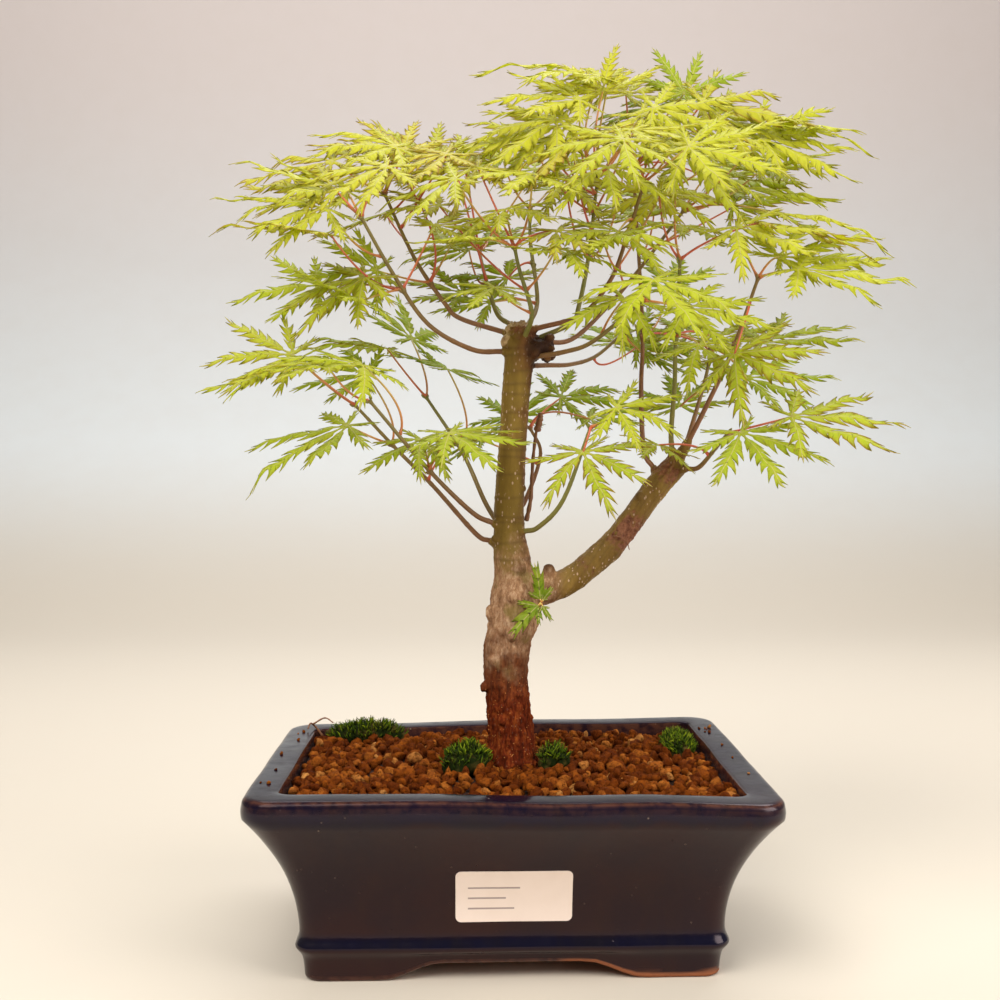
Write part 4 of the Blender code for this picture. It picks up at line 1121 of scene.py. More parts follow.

# shoot, share of its length, heart in mm from the pot's middle, heading, length, painted shade,
# and for a leaf that stands up how steep it is
fillLeaves = (
    ("a", 0.80, (-68, -31, 280), 205, 34, 0.1), ("a", 0.62, (-55, -23, 256), 230, 32, 0.2),
    ("b", 0.48, (-42, 0, 300), 190, 32, 0.1), ("b", 0.75, (-50, 28, 290), 130, 34, 0.4),
    ("c", 0.60, (-15, 41, 277), 100, 34, 0.5), ("c", 1.0, (13, 45, 312), 50, 34, 0.2),
    ("c", 0.60, (-22, 27, 313), 140, 34, 0.3), ("d", 0.55, (-27, -3, 287), 175, 30, 0.2),
    ("d", 0.55, (17, -29, 266), 290, 30, 0.3), ("d", 0.30, (-6, -26, 252), 250, 26, 0.3),
    ("e", 0.6, (1, 27, 263), 120, 30, 0.7), ("e", 0.3, (-6, 18, 252), 160, 28, 0.7),
    ("e", 0.3, (-18, 27, 257), 170, 30, 0.7), ("e", 1.0, (20, 56, 306), 60, 34, 0.4),
    ("e", 1.0, (0, 52, 318), 110, 32, 0.3), ("f", 0.55, (51, 21, 324), 20, 36, 0.1),
    ("f", 0.55, (22, -12, 296), 250, 30, 0.3), ("g", 0.55, (60, -6, 292), 350, 34, 0.2),
    ("g", 0.80, (40, -32, 272), 265, 32, 0.2), ("h", 0.55, (54, 38, 290), 60, 34, 0.4),
    ("h", 0.80, (72, 10, 282), 330, 36, 0.2), ("i", 0.60, (42, -34, 247), 262, 30, 0.4),
    ("i", 1.0, (62, -48, 242), 325, 34, 0.2), ("j", 0.60, (57, 41, 236), 40, 34, 0.7),
    ("j", 1.0, (52, 66, 240), 75, 34, 0.5), ("k", 0.45, (96, 38, 232), 22, 36, 0.5),
    ("k", 0.45, (72, 48, 262), 80, 34, 0.5), ("k", 0.72, (98, 42, 296), 30, 36, 0.3),
    ("k", 0.72, (66, 50, 300), 130, 34, 0.4), ("k", 0.85, (100, 12, 318), 340, 36, 0.1),
    ("l", 0.60, (72, -23, 231), 280, 32, 0.3), ("l", 0.60, (86, 10, 236), 15, 34, 0.3),
    ("g", 0.55, (34, -36, 268), 285, 34, 0.3), ("m", 0.85, (82, -40, 226), 290, 34, 0.2),
    ("n", 1.0, (102, 30, 222), 10, 38, 0.4), ("n", 0.6, (74, 30, 210), 90, 34, 0.7),
    ("n", 1.0, (78, 34, 240), 110, 30, 0.6), ("d", 1.0, (-10, -38, 268), 240, 32, 0.3),
    ("o", 0.5, (58, -13, 193), 250, 24, 0.4), ("p", 0.75, (-55, -35, 222), 240, 34, 0.2),
    ("p", 0.5, (-34, -17, 195), 260, 30, 0.3), ("q", 0.45, (-16, -14, 198), 265, 28, 0.4),
    ("q", 0.72, (-57, 18, 222), 150, 34, 0.5), ("r", 0.6, (-24, 42, 226), 110, 34, 0.7),
    ("r", 1.0, (-40, 52, 240), 120, 34, 0.5), ("s", 1.0, (6, 44, 206), 80, 34, 0.7),
    ("s", 0.6, (-10, 36, 196), 140, 32, 0.8), ("s", 1.0, (24, 38, 214), 40, 30, 0.7),
    ("k", 0.93, (62, 26, 334), 96, 36, 0.9), ("k", 0.93, (78, 4, 330), 335, 40, 0.2),
    ("f", 0.8, (18, -14, 318), 235, 36, 0.1), ("f", 1.0, (52, -8, 322), 300, 38, 0.0),
    ("f", 0.8, (8, 18, 322), 160, 38, 0.2), ("b", 1.0, (-48, 20, 314), 165, 38, 0.1),
    ("b", 0.8, (-24, -8, 306), 215, 36, 0.1), ("a", 1.0, (-46, -30, 296), 225, 36, 0.1),
    ("g", 1.0, (62, -26, 306), 330, 36, 0.1), ("h", 1.0, (88, 34, 312), 40, 38, 0.2),
    ("f", 1.0, (38, 4, 334), 100, 27, 0.0, 1.8), ("k", 1.0, (72, 12, 336), 78, 27, 0.8, 1.8),
    ("f", 0.9, (28, -6, 328), 186, 38, 0.0), ("f", 1.0, (40, 8, 335), 100, 34, 0.0),
    ("f", 1.0, (56, -10, 324), 330, 36, 0.1), ("k", 1.0, (78, 20, 334), 60, 38, 0.7),
    ("k", 1.0, (84, 4, 324), 350, 40, 0.1), ("f", 0.8, (46, -24, 312), 280, 38, 0.0),
    ("f", 0.7, (24, -18, 309), 240, 38, 0.0), ("f", 0.9, (14, 20, 322), 150, 34, 0.2),
    ("l", 1.0, (65, -22, 304), 300, 38, 0.1), ("h", 1.0, (102, 4, 316), 355, 46, 0.1),
    ("h", 1.0, (106, 26, 308), 20, 38, 0.2), ("a", 1.0, (-62, -14, 290), 190, 38, 0.1),
    ("b", 1.0, (-44, -2, 310), 200, 36, 0.1), ("b", 0.9, (-30, 20, 311), 120, 34, 0.2),
    ("a", 1.0, (-78, 6, 290), 185, 36, 0.1), ("a", 0.62, (-74, 0, 256), 190, 34, 0.3),
    ("a", 0.62, (-56, -24, 247), 220, 32, 0.3), ("d", 1.0, (17, -34, 272), 290, 30, 0.2),
    ("d", 1.0, (-2, -22, 282), 250, 32, 0.1), ("d", 1.0, (-12, -12, 300), 215, 34, 0.0),
    ("g", 1.0, (36, -32, 296), 270, 34, 0.1), ("h", 1.0, (104, -8, 284), 350, 40, 0.1),
    ("m", 1.0, (84, -32, 274), 300, 34, 0.1), ("s", 1.0, (34, 12, 204), 0, 28, 0.7),
    ("q", 1.0, (-84, -6, 228), 190, 36, 0.1),
    ("t", 1.0, (38, -42, 206), 325, 28, 0.2),
)


# one lobule along the edge of a lobe: place, width and forward shift, each from 0 to 1
lobuleShape = (
    (0.00, 0.0, 0.00), (0.14, 0.38, 0.08), (0.26, 0.58, 0.40), (0.32, 0.56, 0.30), (0.44, 0.82, 0.62),
    (0.54, 1.00, 0.98), (0.62, 0.72, 0.64), (0.74, 0.46, 0.34), (0.88, 0.0, 0.06),
)


def lobeStations(rng, size, plan, lobules):
    # along one edge of a lobe, cut into forward-leaning lobules: (place, width, shift, is a tip)
    half, begin = plan["halfWidth"], plan["neckEnd"]
    stations = [(begin * k / 3, plan["neck"], 0.0, 0) for k in range(1, 3)]
    step = (0.88 - begin) / lobules
    for k in range(lobules):
        low = begin + step * k
        swell = math.sin(math.pi * (0.17 + 0.80 * (k + 0.5) / lobules)) ** 0.8
        wide = half * swell * rng.uniform(0.82, 1.18)
        inner = max(wide * (1 - plan["cut"] * rng.uniform(0.9, 1.08)), plan["neck"])
        for place, width, shift in lobuleShape:
            stations.append((low + step * place, inner + (wide - inner) * width, shift * step,
                             1 if width == 1 else 0))
    stations += [(0.90, half * 0.10, 0.0, 0), (0.95, half * 0.055, 0.0, 0)]
    return [(place * size, width * size, shift * size, tip) for place, width, shift, tip in stations]


def thicken(bm, sheet, thickness):
    # turns an open sheet into a closed blade of even thickness
    bm.normal_update()
    twins = {}
    for vert in dict.fromkeys(vert for face in sheet for vert in face.verts):
        push = vert.normal * thickness / 2
        twins[vert] = bm.verts.new(vert.co - push, vert)
        vert.co += push
    for face in sheet:
        bm.faces.new([twins[vert] for vert in reversed(face.verts)])
    for edge in [e for e in bm.edges if len(e.link_faces) == 1 and e.verts[0] in twins]:
        face = edge.link_faces[0]
        for loop in face.loops:
            if loop.edge == edge:
                a, b = loop.vert, loop.link_loop_next.vert
                bm.faces.new((b, a, twins[a], twins[b]))
                break


def leafLayers(bm):
    names = ("fromRib", "rim", "sideVein", "span", "tint", "blush")
    return {name: bm.verts.layers.float.new(name) for name in names}


def growBlade(bm, layers, rng, length, place, plan):
    # a palmate blade: midribs from the heart, each with two toothed edges
    sinus = 0.06 * length
    lobes = []
    for angle, share in plan["lobeShares"]:
        lobes.append((-angle + rng.uniform(-6, 6), share * rng.uniform(0.85, 1.10)))
    for angle, share in reversed(plan["lobeShares"][:-1]):
        lobes.append((angle + rng.uniform(-4, 4), share * rng.uniform(0.92, 1.06)))
    angles = [angle for angle, _ in lobes]
    fold = rng.uniform(0.02, 0.16)
    curls = [rng.uniform(-0.16, 0.16) for _ in lobes]
    droops = [plan["droop"] * rng.uniform(-0.2, 2.4) for _ in lobes]

    def put(angle, along, side, lobe, rib=0.0, rim=0.0, vein=0.0, span=0.0):
        turn = math.radians(angle)
        curve = curls[lobe] * along * along / length
        across = side + curve
        x = along * math.cos(turn) - across * math.sin(turn)
        y = along * math.sin(turn) + across * math.cos(turn)
        z = -droops[lobe] * (x * x + y * y) ** 1.5 / length ** 2 - abs(side) * fold * 2
        z += noise.noise(Vector((x, y, length)) * 0.12) * 0.07 * along
        vert = bm.verts.new(place @ (Vector((x, y, z)) * mm))
        for name, value in (("fromRib", rib), ("rim", rim), ("sideVein", vein), ("span", span)):
            vert[layers[name]] = value
        return vert

    heart = put(0, 0, 0, len(lobes) // 2)
    webs = [put(angles[0] - 24, sinus * 0.5, 0, 0, 0.6, 0.6)]
    for i in range(len(lobes) - 1):
        between = (angles[i] + angles[i + 1]) / 2
        webs.append(put(between, sinus * rng.uniform(0.9, 1.2), 0, i, 0.9, 0.7, 0, 0.08))
    webs.append(put(angles[-1] + 24, sinus * 0.5, 0, len(lobes) - 1, 0.6, 0.6))
    sheet = []
    for i, (angle, share) in enumerate(lobes):
        size = share * length
        lobules = max(3, round(plan["lobules"] * share ** 0.7))
        rightEdge = lobeStations(rng, size, plan, lobules)
        leftEdge = lobeStations(rng, size, plan, lobules)
        rows = [(right, left) for right, left in zip(rightEdge, leftEdge) if right[0] > sinus * 1.25]
        middle = put(angle, sinus, 0, i, 0, 0, 0, 0.1)
        sheet.append(bm.faces.new((heart, webs[i], middle)))
        sheet.append(bm.faces.new((heart, middle, webs[i + 1])))
        lastRight, lastLeft, lastMiddle = webs[i], webs[i + 1], middle
        for right, left in rows:
            vein = right[3]
            span = right[0] / size
            nextMiddle = put(angle, right[0], 0, i, 0, 0, vein, span)
            nextRight = put(angle, right[0] + right[2], -right[1], i, right[1], 1, vein, span)
            nextLeft = put(angle, left[0] + left[2], left[1], i, left[1], 1, vein, span)
            sheet.append(bm.faces.new((lastMiddle, lastRight, nextRight, nextMiddle)))
            sheet.append(bm.faces.new((lastMiddle, nextMiddle, nextLeft, lastLeft)))
            lastRight, lastLeft, lastMiddle = nextRight, nextLeft, nextMiddle
        tip = put(angle, size, 0, i, 0.1, 1, 0, 1)
        sheet.append(bm.faces.new((lastMiddle, lastRight, tip)))
        sheet.append(bm.faces.new((lastMiddle, tip, lastLeft)))
    thicken(bm, sheet, plan["thickness"] * mm)


def bladePlace(heart, heading, rng, steep):
    # the blade leans toward the front, more so high up, with its middle lobe at the heading
    out = Vector((heart.x - tree["trunkX"], heart.y - tree["trunkY"], 0)) / 90
    front = -rng.uniform(*leafPlan["towardFront"]) - (heart.z - 200) / 550
    up = Vector((0, front, 1)) + out * leafPlan["outward"]
    up += Vector((rng.gauss(0, 1), rng.gauss(0, 1), 0)) * leafPlan["scatter"] - Vector((0, steep, 0))
    up.normalize()
    ahead = flatWay(heading)
    ahead = (ahead - up * ahead.dot(up)).normalized()
    side = up.cross(ahead)
    place = Matrix((ahead, side, up)).transposed().to_4x4()
    return Matrix.Translation(heart * mm) @ place


def makeLeaf(name, seat, grain, heart, heading, length, shade, lean, seed, steep, *replaced):
    rng = random.Random(seed)
    bm = bmesh.new()
    layers = leafLayers(bm)
    growBlade(bm, layers, rng, length * leafPlan["scale"], bladePlace(heart, heading, rng, steep), leafPlan)
    out = (heart - seat).normalized()
    across = (out - grain * out.dot(grain)).normalized()
    leave = (across + grain * lean).normalized()
    reach = (heart - seat).length
    # the stalk leaves the shoot, bends over and thickens toward its foot
    first, bend, last = seat + leave * 0.6, seat + leave * reach * 0.4, heart - Vector((0, 0, 0.25))
    line, widths = [], []
    for k in range(15):
        t = k / 14
        line.append(first * (1 - t) ** 2 + bend * 2 * t * (1 - t) + last * t * t)
        swell = math.exp(-(t * reach / 1.6) ** 2)
        widths.append((leafPlan["stalkWidth"] * (1 - 0.25 * t)
                       + (leafPlan["stalkFoot"] - leafPlan["stalkWidth"]) * swell) / 2 * mm)
    sweep(bm, [p * mm for p in line], widths, 8, layers["span"], None, 1)
    blush = rng.random()
    # leaves low down and toward the back get more painted shade
    depth = clamp((292 - heart.z) / 100) * 0.22 + max(0.0, heart.y) / 210
    shade = min(1.0, shade * 0.7 + depth + rng.uniform(-0.06, 0.10))
    for vert in bm.verts:
        vert[layers["tint"]] = shade
        vert[layers["blush"]] = blush
    return addPiece(name, closeMesh(name, bm), [leafGreen, leafStalk], "leaf", *replaced)


def makeLeaves():
    for number, (shoot, node, offset, heading, length, shade) in enumerate(framedLeaves, 1):
        share = shoots[shoot][3][node]
        seat, grain = along(shootAxis(shoot)[2], share)
        lean = 0.15 if offset[2] < 0 else 0.9 if share == 1 else 0.45
        name = f"leaf_{number:02d}_on_{shoot}"
        makeLeaf("maple_" + name, seat, grain, seat + Vector(offset), heading, length, shade, lean,
                 100 + number, 0, name)
    for number, (shoot, share, heart, heading, length, shade, *steep) in enumerate(fillLeaves, 1):
        seat, grain = along(shootAxis(shoot)[2], share)
        lean = 0.9 if share == 1 else 0.45
        name = f"maple_leaf_extra_{number:02d}"
        makeLeaf(name, seat, grain, Vector(heart), heading, length, shade, lean, 300 + number, sum(steep))
    print("leaves:", len(framedLeaves) + len(fillLeaves))


leafTones = {
    "sunlitToShaded": ((0.0, (0.80, 0.77, 0.050)), (0.3, (0.61, 0.66, 0.036)),
                       (0.7, (0.39, 0.53, 0.030)), (1.0, (0.22, 0.38, 0.022))),
    "sunny": (0.82, 0.66, 0.075), "blotch": (0.74, 0.66, 0.10), "fineVein": (0.56, 0.58, 0.07),
    "rim": (0.42, 0.155, 0.030), "tip": (0.40, 0.11, 0.030), "sideVein": (0.62, 0.60, 0.22),
    "rib": (0.70, 0.62, 0.26), "glow": (0.74, 0.85, 0.030), "letsThrough": 0.58,
    "stalk": ((0.0, (0.50, 0.15, 0.045)), (0.35, (0.58, 0.24, 0.060)),
              (0.8, (0.60, 0.42, 0.090)), (1.0, (0.62, 0.58, 0.12))),
    "stalkRed": (0.62, 0.10, 0.060), "stalkSpeck": (0.25, 0.08, 0.02),
}


def leafFinish():
    leaf = Finish("mapleLeaf", 0.42)
    tint, blush = leaf.painted("tint"), leaf.painted("blush")
    span, rim = leaf.painted("span"), leaf.painted("rim")
    green = leaf.ramp(tint, *leafTones["sunlitToShaded"])
    sunny = leaf.times(leaf.fade(blush, 0.45, 1.0), leaf.fade(tint, 0.0, 0.4, 0.7, 0.0))
    green = leaf.mix(sunny, green, leafTones["sunny"])
    blotch = leaf.fade(leaf.noise(9, 4), 0.35, 0.7)
    green = leaf.mix(leaf.times(blotch, 0.30), green, leafTones["blotch"])
    fine = leaf.fade(leaf.cells(1.1, "DISTANCE_TO_EDGE"), 0.0, 0.14, 0.30, 0.0)
    green = leaf.mix(fine, green, leafTones["fineVein"])
    # rims and tips are flushed red, more on some leaves than on others
    warm = leaf.fade(blush, 0.15, 1.0, 0.15, 0.85)
    edge = leaf.times(leaf.fade(rim, 0.62, 1.0), warm)
    green = leaf.mix(edge, green, leafTones["rim"])
    green = leaf.mix(leaf.times(leaf.fade(span, 0.80, 1.0), warm), green, leafTones["tip"])
    side = leaf.fade(leaf.painted("sideVein"), 0.70, 0.93, 0.0, 0.55)
    green = leaf.mix(side, green, leafTones["sideVein"])
    rib = leaf.fade(leaf.painted("fromRib"), 0.10, 0.26, 0.9, 0.0)
    green = leaf.mix(rib, green, leafTones["rib"])
    leaf.colour(green)
    leaf.set("Specular IOR Level", 0.24)
    grooves = leaf.most(leaf.times(side, 0.6), rib)
    soft = leaf.bump(leaf.noise(1.3, 4), 0.10, 0.5)
    leaf.set("Normal", leaf.bump(grooves, 0.14, 0.7, soft))
    leaf.set("Roughness", leaf.fade(leaf.noise(5, 3), 0.3, 0.7, 0.36, 0.55))
    # light from behind shines through the thin blade
    glow = leaf.tree.nodes.new("ShaderNodeBsdfTranslucent")
    leaf.link(leaf.mix(0.50, green, leafTones["glow"]), glow.inputs["Color"])
    blend = leaf.tree.nodes.new("ShaderNodeMixShader")
    blend.inputs[0].default_value = leafTones["letsThrough"]
    leaf.link(leaf.shader.outputs[0], blend.inputs[1])
    leaf.link(glow.outputs[0], blend.inputs[2])
    leaf.link(blend.outputs[0], leaf.tree.nodes["Material Output"].inputs["Surface"])
    return leaf.material


def stalkFinish():
    stalk = Finish("leafStalk", 0.4)
    tone = stalk.ramp(stalk.painted("span"), *leafTones["stalk"])
    tone = stalk.mix(stalk.fade(stalk.painted("blush"), 0.3, 0.8, 0.0, 0.85), tone, leafTones["stalkRed"])
    specks = stalk.fade(stalk.noise(1.4, 3), 0.4, 0.8, 0.0, 0.3)
    stalk.colour(stalk.mix(specks, tone, leafTones["stalkSpeck"]))
    stalk.set("Normal", stalk.bump(stalk.noise(0.8, 3), 0.06, 0.5))
    return stalk.material


# the shoots that stand in for one of the frame's, while the others only fill the back
framedShoots = "abcdfghijklmopqrt"


def makeShoots(finish):
    for name, (wood, share, bends, nodes, red) in shoots.items():
        heart, reach, axis = shootAxis(name)
        way = (axis[0] - heart).normalized()
        axis = [heart + way * (reach - 1.6)] + axis
        total = sum((b - a).length for a, b in zip(axis, axis[1:]))
        # evenly spaced rings, and a few more around each node
        marks = {k / 70 for k in range(71)}
        for node in nodes:
            marks.update(min(1.0, node + past / total) for past in (-1.8, -1.0, -0.4, 0, 0.4, 1.0, 1.8))
        marks = sorted(marks)
        rng = random.Random(name)
        scars = [rng.uniform(0.02, 0.95) for _ in range(int(total / 14))]
        points, radii = [], []
        for mark in marks:
            points.append(along(axis, mark)[0] * mm)
            radius = (tree["shootWidth"] + (tree["shootTipWidth"] - tree["shootWidth"]) * mark) / 2
            for node in nodes:
                radius += 0.36 * math.exp(-((mark - node) * total / 0.9) ** 2)
            for scar in scars:
                radius += 0.10 * math.exp(-((mark - scar) * total / 0.35) ** 2)
            radii.append(radius * mm)
        bm = bmesh.new()
        span = bm.verts.layers.float.new("span")
        redLayer = bm.verts.layers.float.new("redness")
        sweep(bm, points, radii, 14, span, marks)
        for node in nodes:
            # a pair of small pointed buds sits where the leaf stalks leave
            spot, grain = along(axis, node)
            side = grain.orthogonal().normalized()
            for sign in (-1, 1):
                foot = spot + side * sign * 0.9
                tip = foot + (grain * 1.6 + side * sign * 0.9)
                bud = [foot * mm, foot.lerp(tip, 0.35) * mm, foot.lerp(tip, 0.7) * mm, tip * mm]
                sweep(bm, bud, [half * mm for half in (0.55, 0.62, 0.42, 0.10)], 8, span, [node] * 4)
        for vert in bm.verts:
            vert[redLayer] = red
        piece = "young_shoot_" + name
        replaced = ["shoot_" + name] if name in framedShoots else []
        addPiece(piece, closeMesh(piece, bm), [finish], "young_bark", *replaced)
    print("shoots:", len(shoots))


shootTones = {
    "green": (0.155, 0.165, 0.028), "paleGreen": (0.235, 0.215, 0.050), "brown": (0.135, 0.050, 0.022),
    "paleBrown": (0.30, 0.125, 0.050), "speck": (0.50, 0.36, 0.18),
}


def shootFinish():
    young = Finish("youngBark", 0.42)
    red, span = young.painted("redness"), young.painted("span")
    green = young.mix(young.noise(6, 3), shootTones["green"], shootTones["paleGreen"])
    brown = young.mix(young.noise(4, 4), shootTones["brown"], shootTones["paleBrown"])
    share = young.fade(young.plus(red, young.fade(span, 0, 1, 0.15, -0.20)), 0.05, 0.85)
    tone = young.mix(share, green, brown)
    spots = young.fade(young.cells(1.5), 0.05, 0.16, 0.6, 0.0)
    tone = young.mix(spots, tone, shootTones["speck"])
    young.colour(tone)
    young.set("Specular IOR Level", 0.45)
    bumpy = young.bump(young.noise(1.2, 4, young.stretch(1, 1, 0.5)), 0.12, 0.6)
    young.set("Normal", young.bump(spots, 0.08, 0.6, bumpy))
    young.set("Roughness", young.fade(young.noise(3, 3), 0.3, 0.7, 0.34, 0.52))
    return young.material


sproutPlan = {
    # each small leaf: the way that it points and its length
    "leaves": (((-0.18, -0.25, 1.0), 14), ((-0.80, -0.30, -0.66), 18), ((0.35, -0.35, -0.75), 7),
               ((0.40, -0.2, 0.6), 5)),
    "foot": (9.0, -9.0, 126.0), "tip": (12.4, -13.6, 131.5), "width": 1.1,
    "lobeShares": ((52, 0.44), (0, 1.0)), "halfWidth": 0.19, "neck": 0.035, "neckEnd": 0.10,
    "lobules": 3, "cut": 0.34, "thickness": 0.20, "droop": 0.10, "stalk": 0.64, "shade": 0.92,
}


def makeSprout():
    # a young sprout with a few small leaves in the fork
    rng = random.Random(8)
    bm = bmesh.new()
    layers = leafLayers(bm)
    foot, tip = Vector(sproutPlan["foot"]), Vector(sproutPlan["tip"])
    for way, length in sproutPlan["leaves"]:
        ahead = Vector(way).normalized()
        up = Vector((0.1, -1, 0.35))
        up = (up - ahead * up.dot(ahead)).normalized()
        place = Matrix((ahead, up.cross(ahead), up)).transposed().to_4x4()
        heart = tip + ahead * 1.6
        growBlade(bm, layers, rng, length, Matrix.Translation(heart * mm) @ place, sproutPlan)
        line = [tip.lerp(heart, k / 3) * mm for k in range(4)]
        sweep(bm, line, [sproutPlan["stalk"] / 2 * mm] * 4, 8, layers["span"], None, 1)
    line = [(foot.lerp(tip, k / 5) + Vector((0, -0.6, 0)) * math.sin(k * 0.6)) * mm for k in range(6)]
    sweep(bm, line, [sproutPlan["width"] / 2 * mm] * 6, 10, layers["span"], None, 1)
    for vert in bm.verts:
        vert[layers["tint"]] = sproutPlan["shade"]
    addPiece("fork_sprout", closeMesh("fork_sprout", bm), [leafGreen, leafStalk], "leaf")
    print("sprout leaves:", len(sproutPlan["leaves"]))


# dead twigs, as points in mm from the pot's middle, and their width
dryTwigs = (
    (((7.5, 1, 163), (9.5, 6, 172), (10.6, 9, 188), (12.6, 10, 204)), 1.9),
    (((12.2, 9.6, 199), (13.4, 9.4, 203.5), (13.6, 9.2, 206)), 3.0),
    (((41, -8, 157), (43, -11, 157), (46, -12, 155), (47, -12, 152)), 0.5),
    (((-80, 60, 65), (-83, 60, 69), (-85, 58, 71), (-86, 56, 69)), 1.0),
    (((-84, 59, 70.5), (-79, 60, 73), (-75, 57, 71.5)), 0.8),
)


def makeTwigs(finish):
    for number, (points, width) in enumerate(dryTwigs, 1):
        bm = bmesh.new()
        span = bm.verts.layers.float.new("span")
        red = bm.verts.layers.float.new("redness")
        line = [p * mm for p in smoothLine([Vector(p) for p in points], 6)]
        radii = [width / 2 * mm * (1 - 0.35 * k / (len(line) - 1)) * (1 + 0.16 * math.sin(k * 2.3))
                 for k in range(len(line))]
        sweep(bm, line, radii, 10, span)
        for vert in bm.verts:
            vert[red] = 1.0
        name = f"dry_twig_{number}"
        addPiece(name, closeMesh(name, bm), [finish], "young_bark")
    print("dry twigs:", len(dryTwigs))


rimCrumbs = {"count": 16, "sizes": (0.35, 0.95), "seed": 21}


def makeCrumbs(finish):
    # a few crumbs of clay that lie on the rim
    rng = random.Random(rimCrumbs["seed"])
    bm = bmesh.new()
    tint = bm.verts.layers.float.new("tint")
    for _ in range(rimCrumbs["count"]):
        side = rng.choice((-1, 1, 1))
        radius = rng.uniform(*rimCrumbs["sizes"])
        x, y = side * (pot["length"] / 2 - rng.uniform(4, 10)), rng.uniform(-56, 56)
        z = pot["height"] + warp(x, y, pot["height"]) + radius * 0.55
        grainShape(bm, Vector((x, y, z)), radius, rng, tint)
    addPiece("rim_crumbs", closeMesh("rim_crumbs", bm), [finish], "akadama")


mossPlan = {
    "cushions": ("moss_left_of_trunk", "moss_right_of_trunk", "moss_back_corner", "moss_right_side"),
    "spikesPerCm2": 150, "spikeLength": 2.6, "spikeWidth": 0.62, "sunk": 1.2,
}


def mossSpike(bm, tint, foot, way, length, width, rng):
    side = way.orthogonal().normalized()
    line = [foot, foot + way * length * 0.5 + side * rng.uniform(-0.2, 0.2) * length,
            foot + way * length + side * rng.uniform(-0.45, 0.45) * length]
    before = len(bm.verts)
    sweep(bm, [p * mm for p in line], [width * part * mm for part in (0.5, 0.42, 0.12)], 4)
    bm.verts.ensure_lookup_table()
    shade = rng.random()
    for vert in bm.verts[before:]:
        vert[tint] = shade


def makeMosses(finish):
    for number, node in enumerate(mossPlan["cushions"]):
        rng = random.Random(50 + number)
        low, high = (Vector(corner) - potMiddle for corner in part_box(node))
        middle = (low + high) / 2 / mm
        halfX, halfY, tall = (high.x - low.x) / 2 / mm, (high.y - low.y) / 2 / mm, (high.z - low.z) / mm
        bm = bmesh.new()
        tint = bm.verts.layers.float.new("tint")
        floor = low.z / mm - mossPlan["sunk"]

        def skin(x, y):
            across = min(1.0, ((x - middle.x) / halfX) ** 2 + ((y - middle.y) / halfY) ** 2)
            lumps = noise.noise(Vector((x, y, number * 9)) * 0.30) * 0.30
            return floor + mossPlan["sunk"] + tall * (max(0.0, 1 - across) ** 0.5) * (1.35 + lumps)

        rings = []
        for share in (0.98, 0.9, 0.78, 0.64, 0.5, 0.36, 0.22, 0.08):
            ring = []
            for k in range(40):
                turn = 2 * math.pi * k / 40
                around = Vector((math.cos(turn), math.sin(turn), number))
                wide = share * (1 + 0.12 * noise.noise(around * 2))
                x, y = middle.x + halfX * wide * math.cos(turn), middle.y + halfY * wide * math.sin(turn)
                ring.append(bm.verts.new(Vector((x, y, skin(x, y))) * mm))
            rings.append(ring)
        under = [bm.verts.new((vert.co.x, vert.co.y, floor * mm)) for vert in rings[0]]
        rings.insert(0, under)
        fillRings(bm, rings)
        count = int(mossPlan["spikesPerCm2"] * math.pi * halfX * halfY / 100)
        for _ in range(count):
            turn, share = rng.uniform(0, 2 * math.pi), rng.random() ** 0.5
            x = middle.x + halfX * share * math.cos(turn) * 0.98
            y = middle.y + halfY * share * math.sin(turn) * 0.98
            out = Vector(((x - middle.x) / halfX, (y - middle.y) / halfY, 0)) * 0.9
            way = (out + Vector((rng.gauss(0, 0.35), rng.gauss(0, 0.35), 1))).normalized()
            length = mossPlan["spikeLength"] * rng.uniform(0.6, 1.25)
            width = mossPlan["spikeWidth"] * rng.uniform(0.8, 1.2)
            mossSpike(bm, tint, Vector((x, y, skin(x, y) - 0.4)), way, length, width, rng)
        name = "cushion_" + node
        addPiece(name, closeMesh(name, bm), [finish], "moss", node)
    print("moss cushions:", len(mossPlan["cushions"]))


mossTones = {
    "spikes": ((0.0, (0.008, 0.014, 0.001)), (0.45, (0.036, 0.068, 0.003)),
               (0.85, (0.115, 0.175, 0.006)), (1.0, (0.28, 0.33, 0.012))),
    "dry": (0.19, 0.120, 0.030),
}


def mossFinish():
    moss = Finish("softMoss", 0.85)
    tone = moss.ramp(moss.painted("tint"), *mossTones["spikes"])
    moss.colour(moss.mix(moss.fade(moss.noise(5, 3), 0.5, 0.75, 0, 0.5), tone, mossTones["dry"]))
    moss.set("Specular IOR Level", 0.08)
    moss.set("Normal", moss.bump(moss.noise(0.6, 4), 0.2, 0.6))
    return moss.material


labelPlan = {
    "length": 41.6, "height": 19.7, "middle": 31.8, "corner": 2.0, "thickness": 0.22, "lift": 0.06,
    "tucked": 0.4, "columns": 24,
    # blank rules in place of writing: height, left end and right end
    "rules": ((35.0, -16.5, 2.0), (31.0, -16.5, -3.0), (27.0, -16.5, 0.0)),
    "paper": (0.80, 0.66, 0.57), "palePaper": (0.87, 0.73, 0.65), "ink": (0.16, 0.11, 0.12),
}


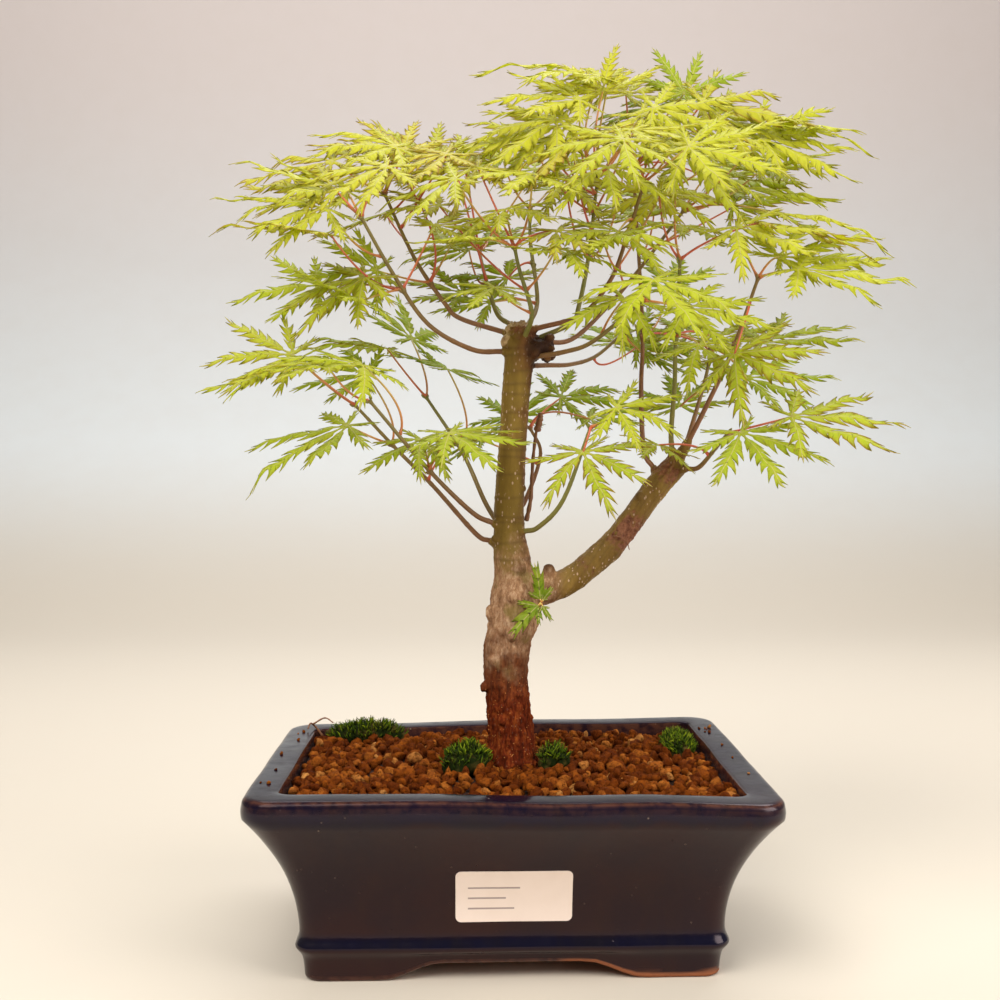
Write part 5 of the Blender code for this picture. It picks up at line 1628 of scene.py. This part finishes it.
def makeLabel(finish):
    # a paper rectangle with round corners that follows the curve of the wall
    low = labelPlan["middle"] - labelPlan["height"] / 2
    corner, tall, columns = labelPlan["corner"], labelPlan["height"], labelPlan["columns"]
    rises = [corner * (1 - math.cos(math.radians(90 * k / 6))) for k in range(7)]
    rises += [corner + (tall - 2 * corner) * k / 10 for k in range(1, 10)]
    rises += [tall - rise for rise in rises[6::-1]]
    bm = bmesh.new()
    front, back = [], []
    for rise in rises:
        fromEnd = min(rise, tall - rise)
        short = 0.0
        if fromEnd < corner:
            short = corner - math.sqrt(max(0.0, corner ** 2 - (corner - fromEnd) ** 2))
        half = labelPlan["length"] / 2 - short
        z = low + rise
        wall = -(pot["depth"] / 2 - outerSetback(z))
        rowFront, rowBack = [], []
        for k in range(columns + 1):
            x = -half + 2 * half * k / columns
            y = wall - handWobble(x, wall, z) - labelPlan["lift"]
            rowBack.append(bm.verts.new(Vector((x, y + labelPlan["tucked"], z)) * mm))
            rowFront.append(bm.verts.new(Vector((x, y - labelPlan["thickness"], z)) * mm))
        front.append(rowFront)
        back.append(rowBack)
    for sheet in (front, back):
        for lower, upper in zip(sheet, sheet[1:]):
            for k in range(columns):
                bm.faces.new((lower[k], lower[k + 1], upper[k + 1], upper[k]))
    for i in range(len(front) - 1):
        for k in (0, columns):
            bm.faces.new((front[i][k], front[i + 1][k], back[i + 1][k], back[i][k]))
    for row in (0, len(front) - 1):
        for k in range(columns):
            bm.faces.new((front[row][k], front[row][k + 1], back[row][k + 1], back[row][k]))
    piece = addPiece("paper_label", closeMesh("paper_label", bm), [finish], "label_paper", "label")
    piece.data.set_sharp_from_angle(angle=math.radians(50))


def labelFinish():
    paper = Finish("labelPaper", 0.5)
    tone = paper.mix(paper.noise(6, 4), labelPlan["paper"], labelPlan["palePaper"])
    across, rise = paper.place("X"), paper.place("Z")
    ruled = None
    for z, left, right in labelPlan["rules"]:
        away = paper.reckon("ABSOLUTE", paper.reckon("SUBTRACT", rise, z * mm), 0)
        rule = paper.fade(away, 0.25 * mm, 0.40 * mm, 1, 0)
        rule = paper.times(rule, paper.fade(across, left * mm, (left + 0.2) * mm))
        rule = paper.times(rule, paper.fade(across, right * mm, (right + 0.2) * mm, 1, 0))
        ruled = paper.most(ruled, rule) if ruled else rule
    paper.colour(paper.mix(paper.times(ruled, 0.7), tone, labelPlan["ink"]))
    paper.set("Normal", paper.bump(paper.noise(0.8, 4), 0.03, 0.5))
    paper.set("Roughness", paper.fade(paper.noise(3, 3), 0.3, 0.7, 0.42, 0.58))
    return paper.material


placeCamera()
makeStudio()
print("studio ready")
makePot(glazeFinish())
makeLabel(labelFinish())
print("pot and label ready")
makeSoilBed(bedFinish())
clayGrain, youngBark = grainFinish(), shootFinish()
makeGrains(clayGrain)
makeCrumbs(clayGrain)
makeMosses(mossFinish())
print("soil and moss ready")
makeWood(barkFinish())
makeShoots(youngBark)
makeTwigs(youngBark)
leafGreen, leafStalk = leafFinish(), stalkFinish()
makeLeaves()
makeSprout()
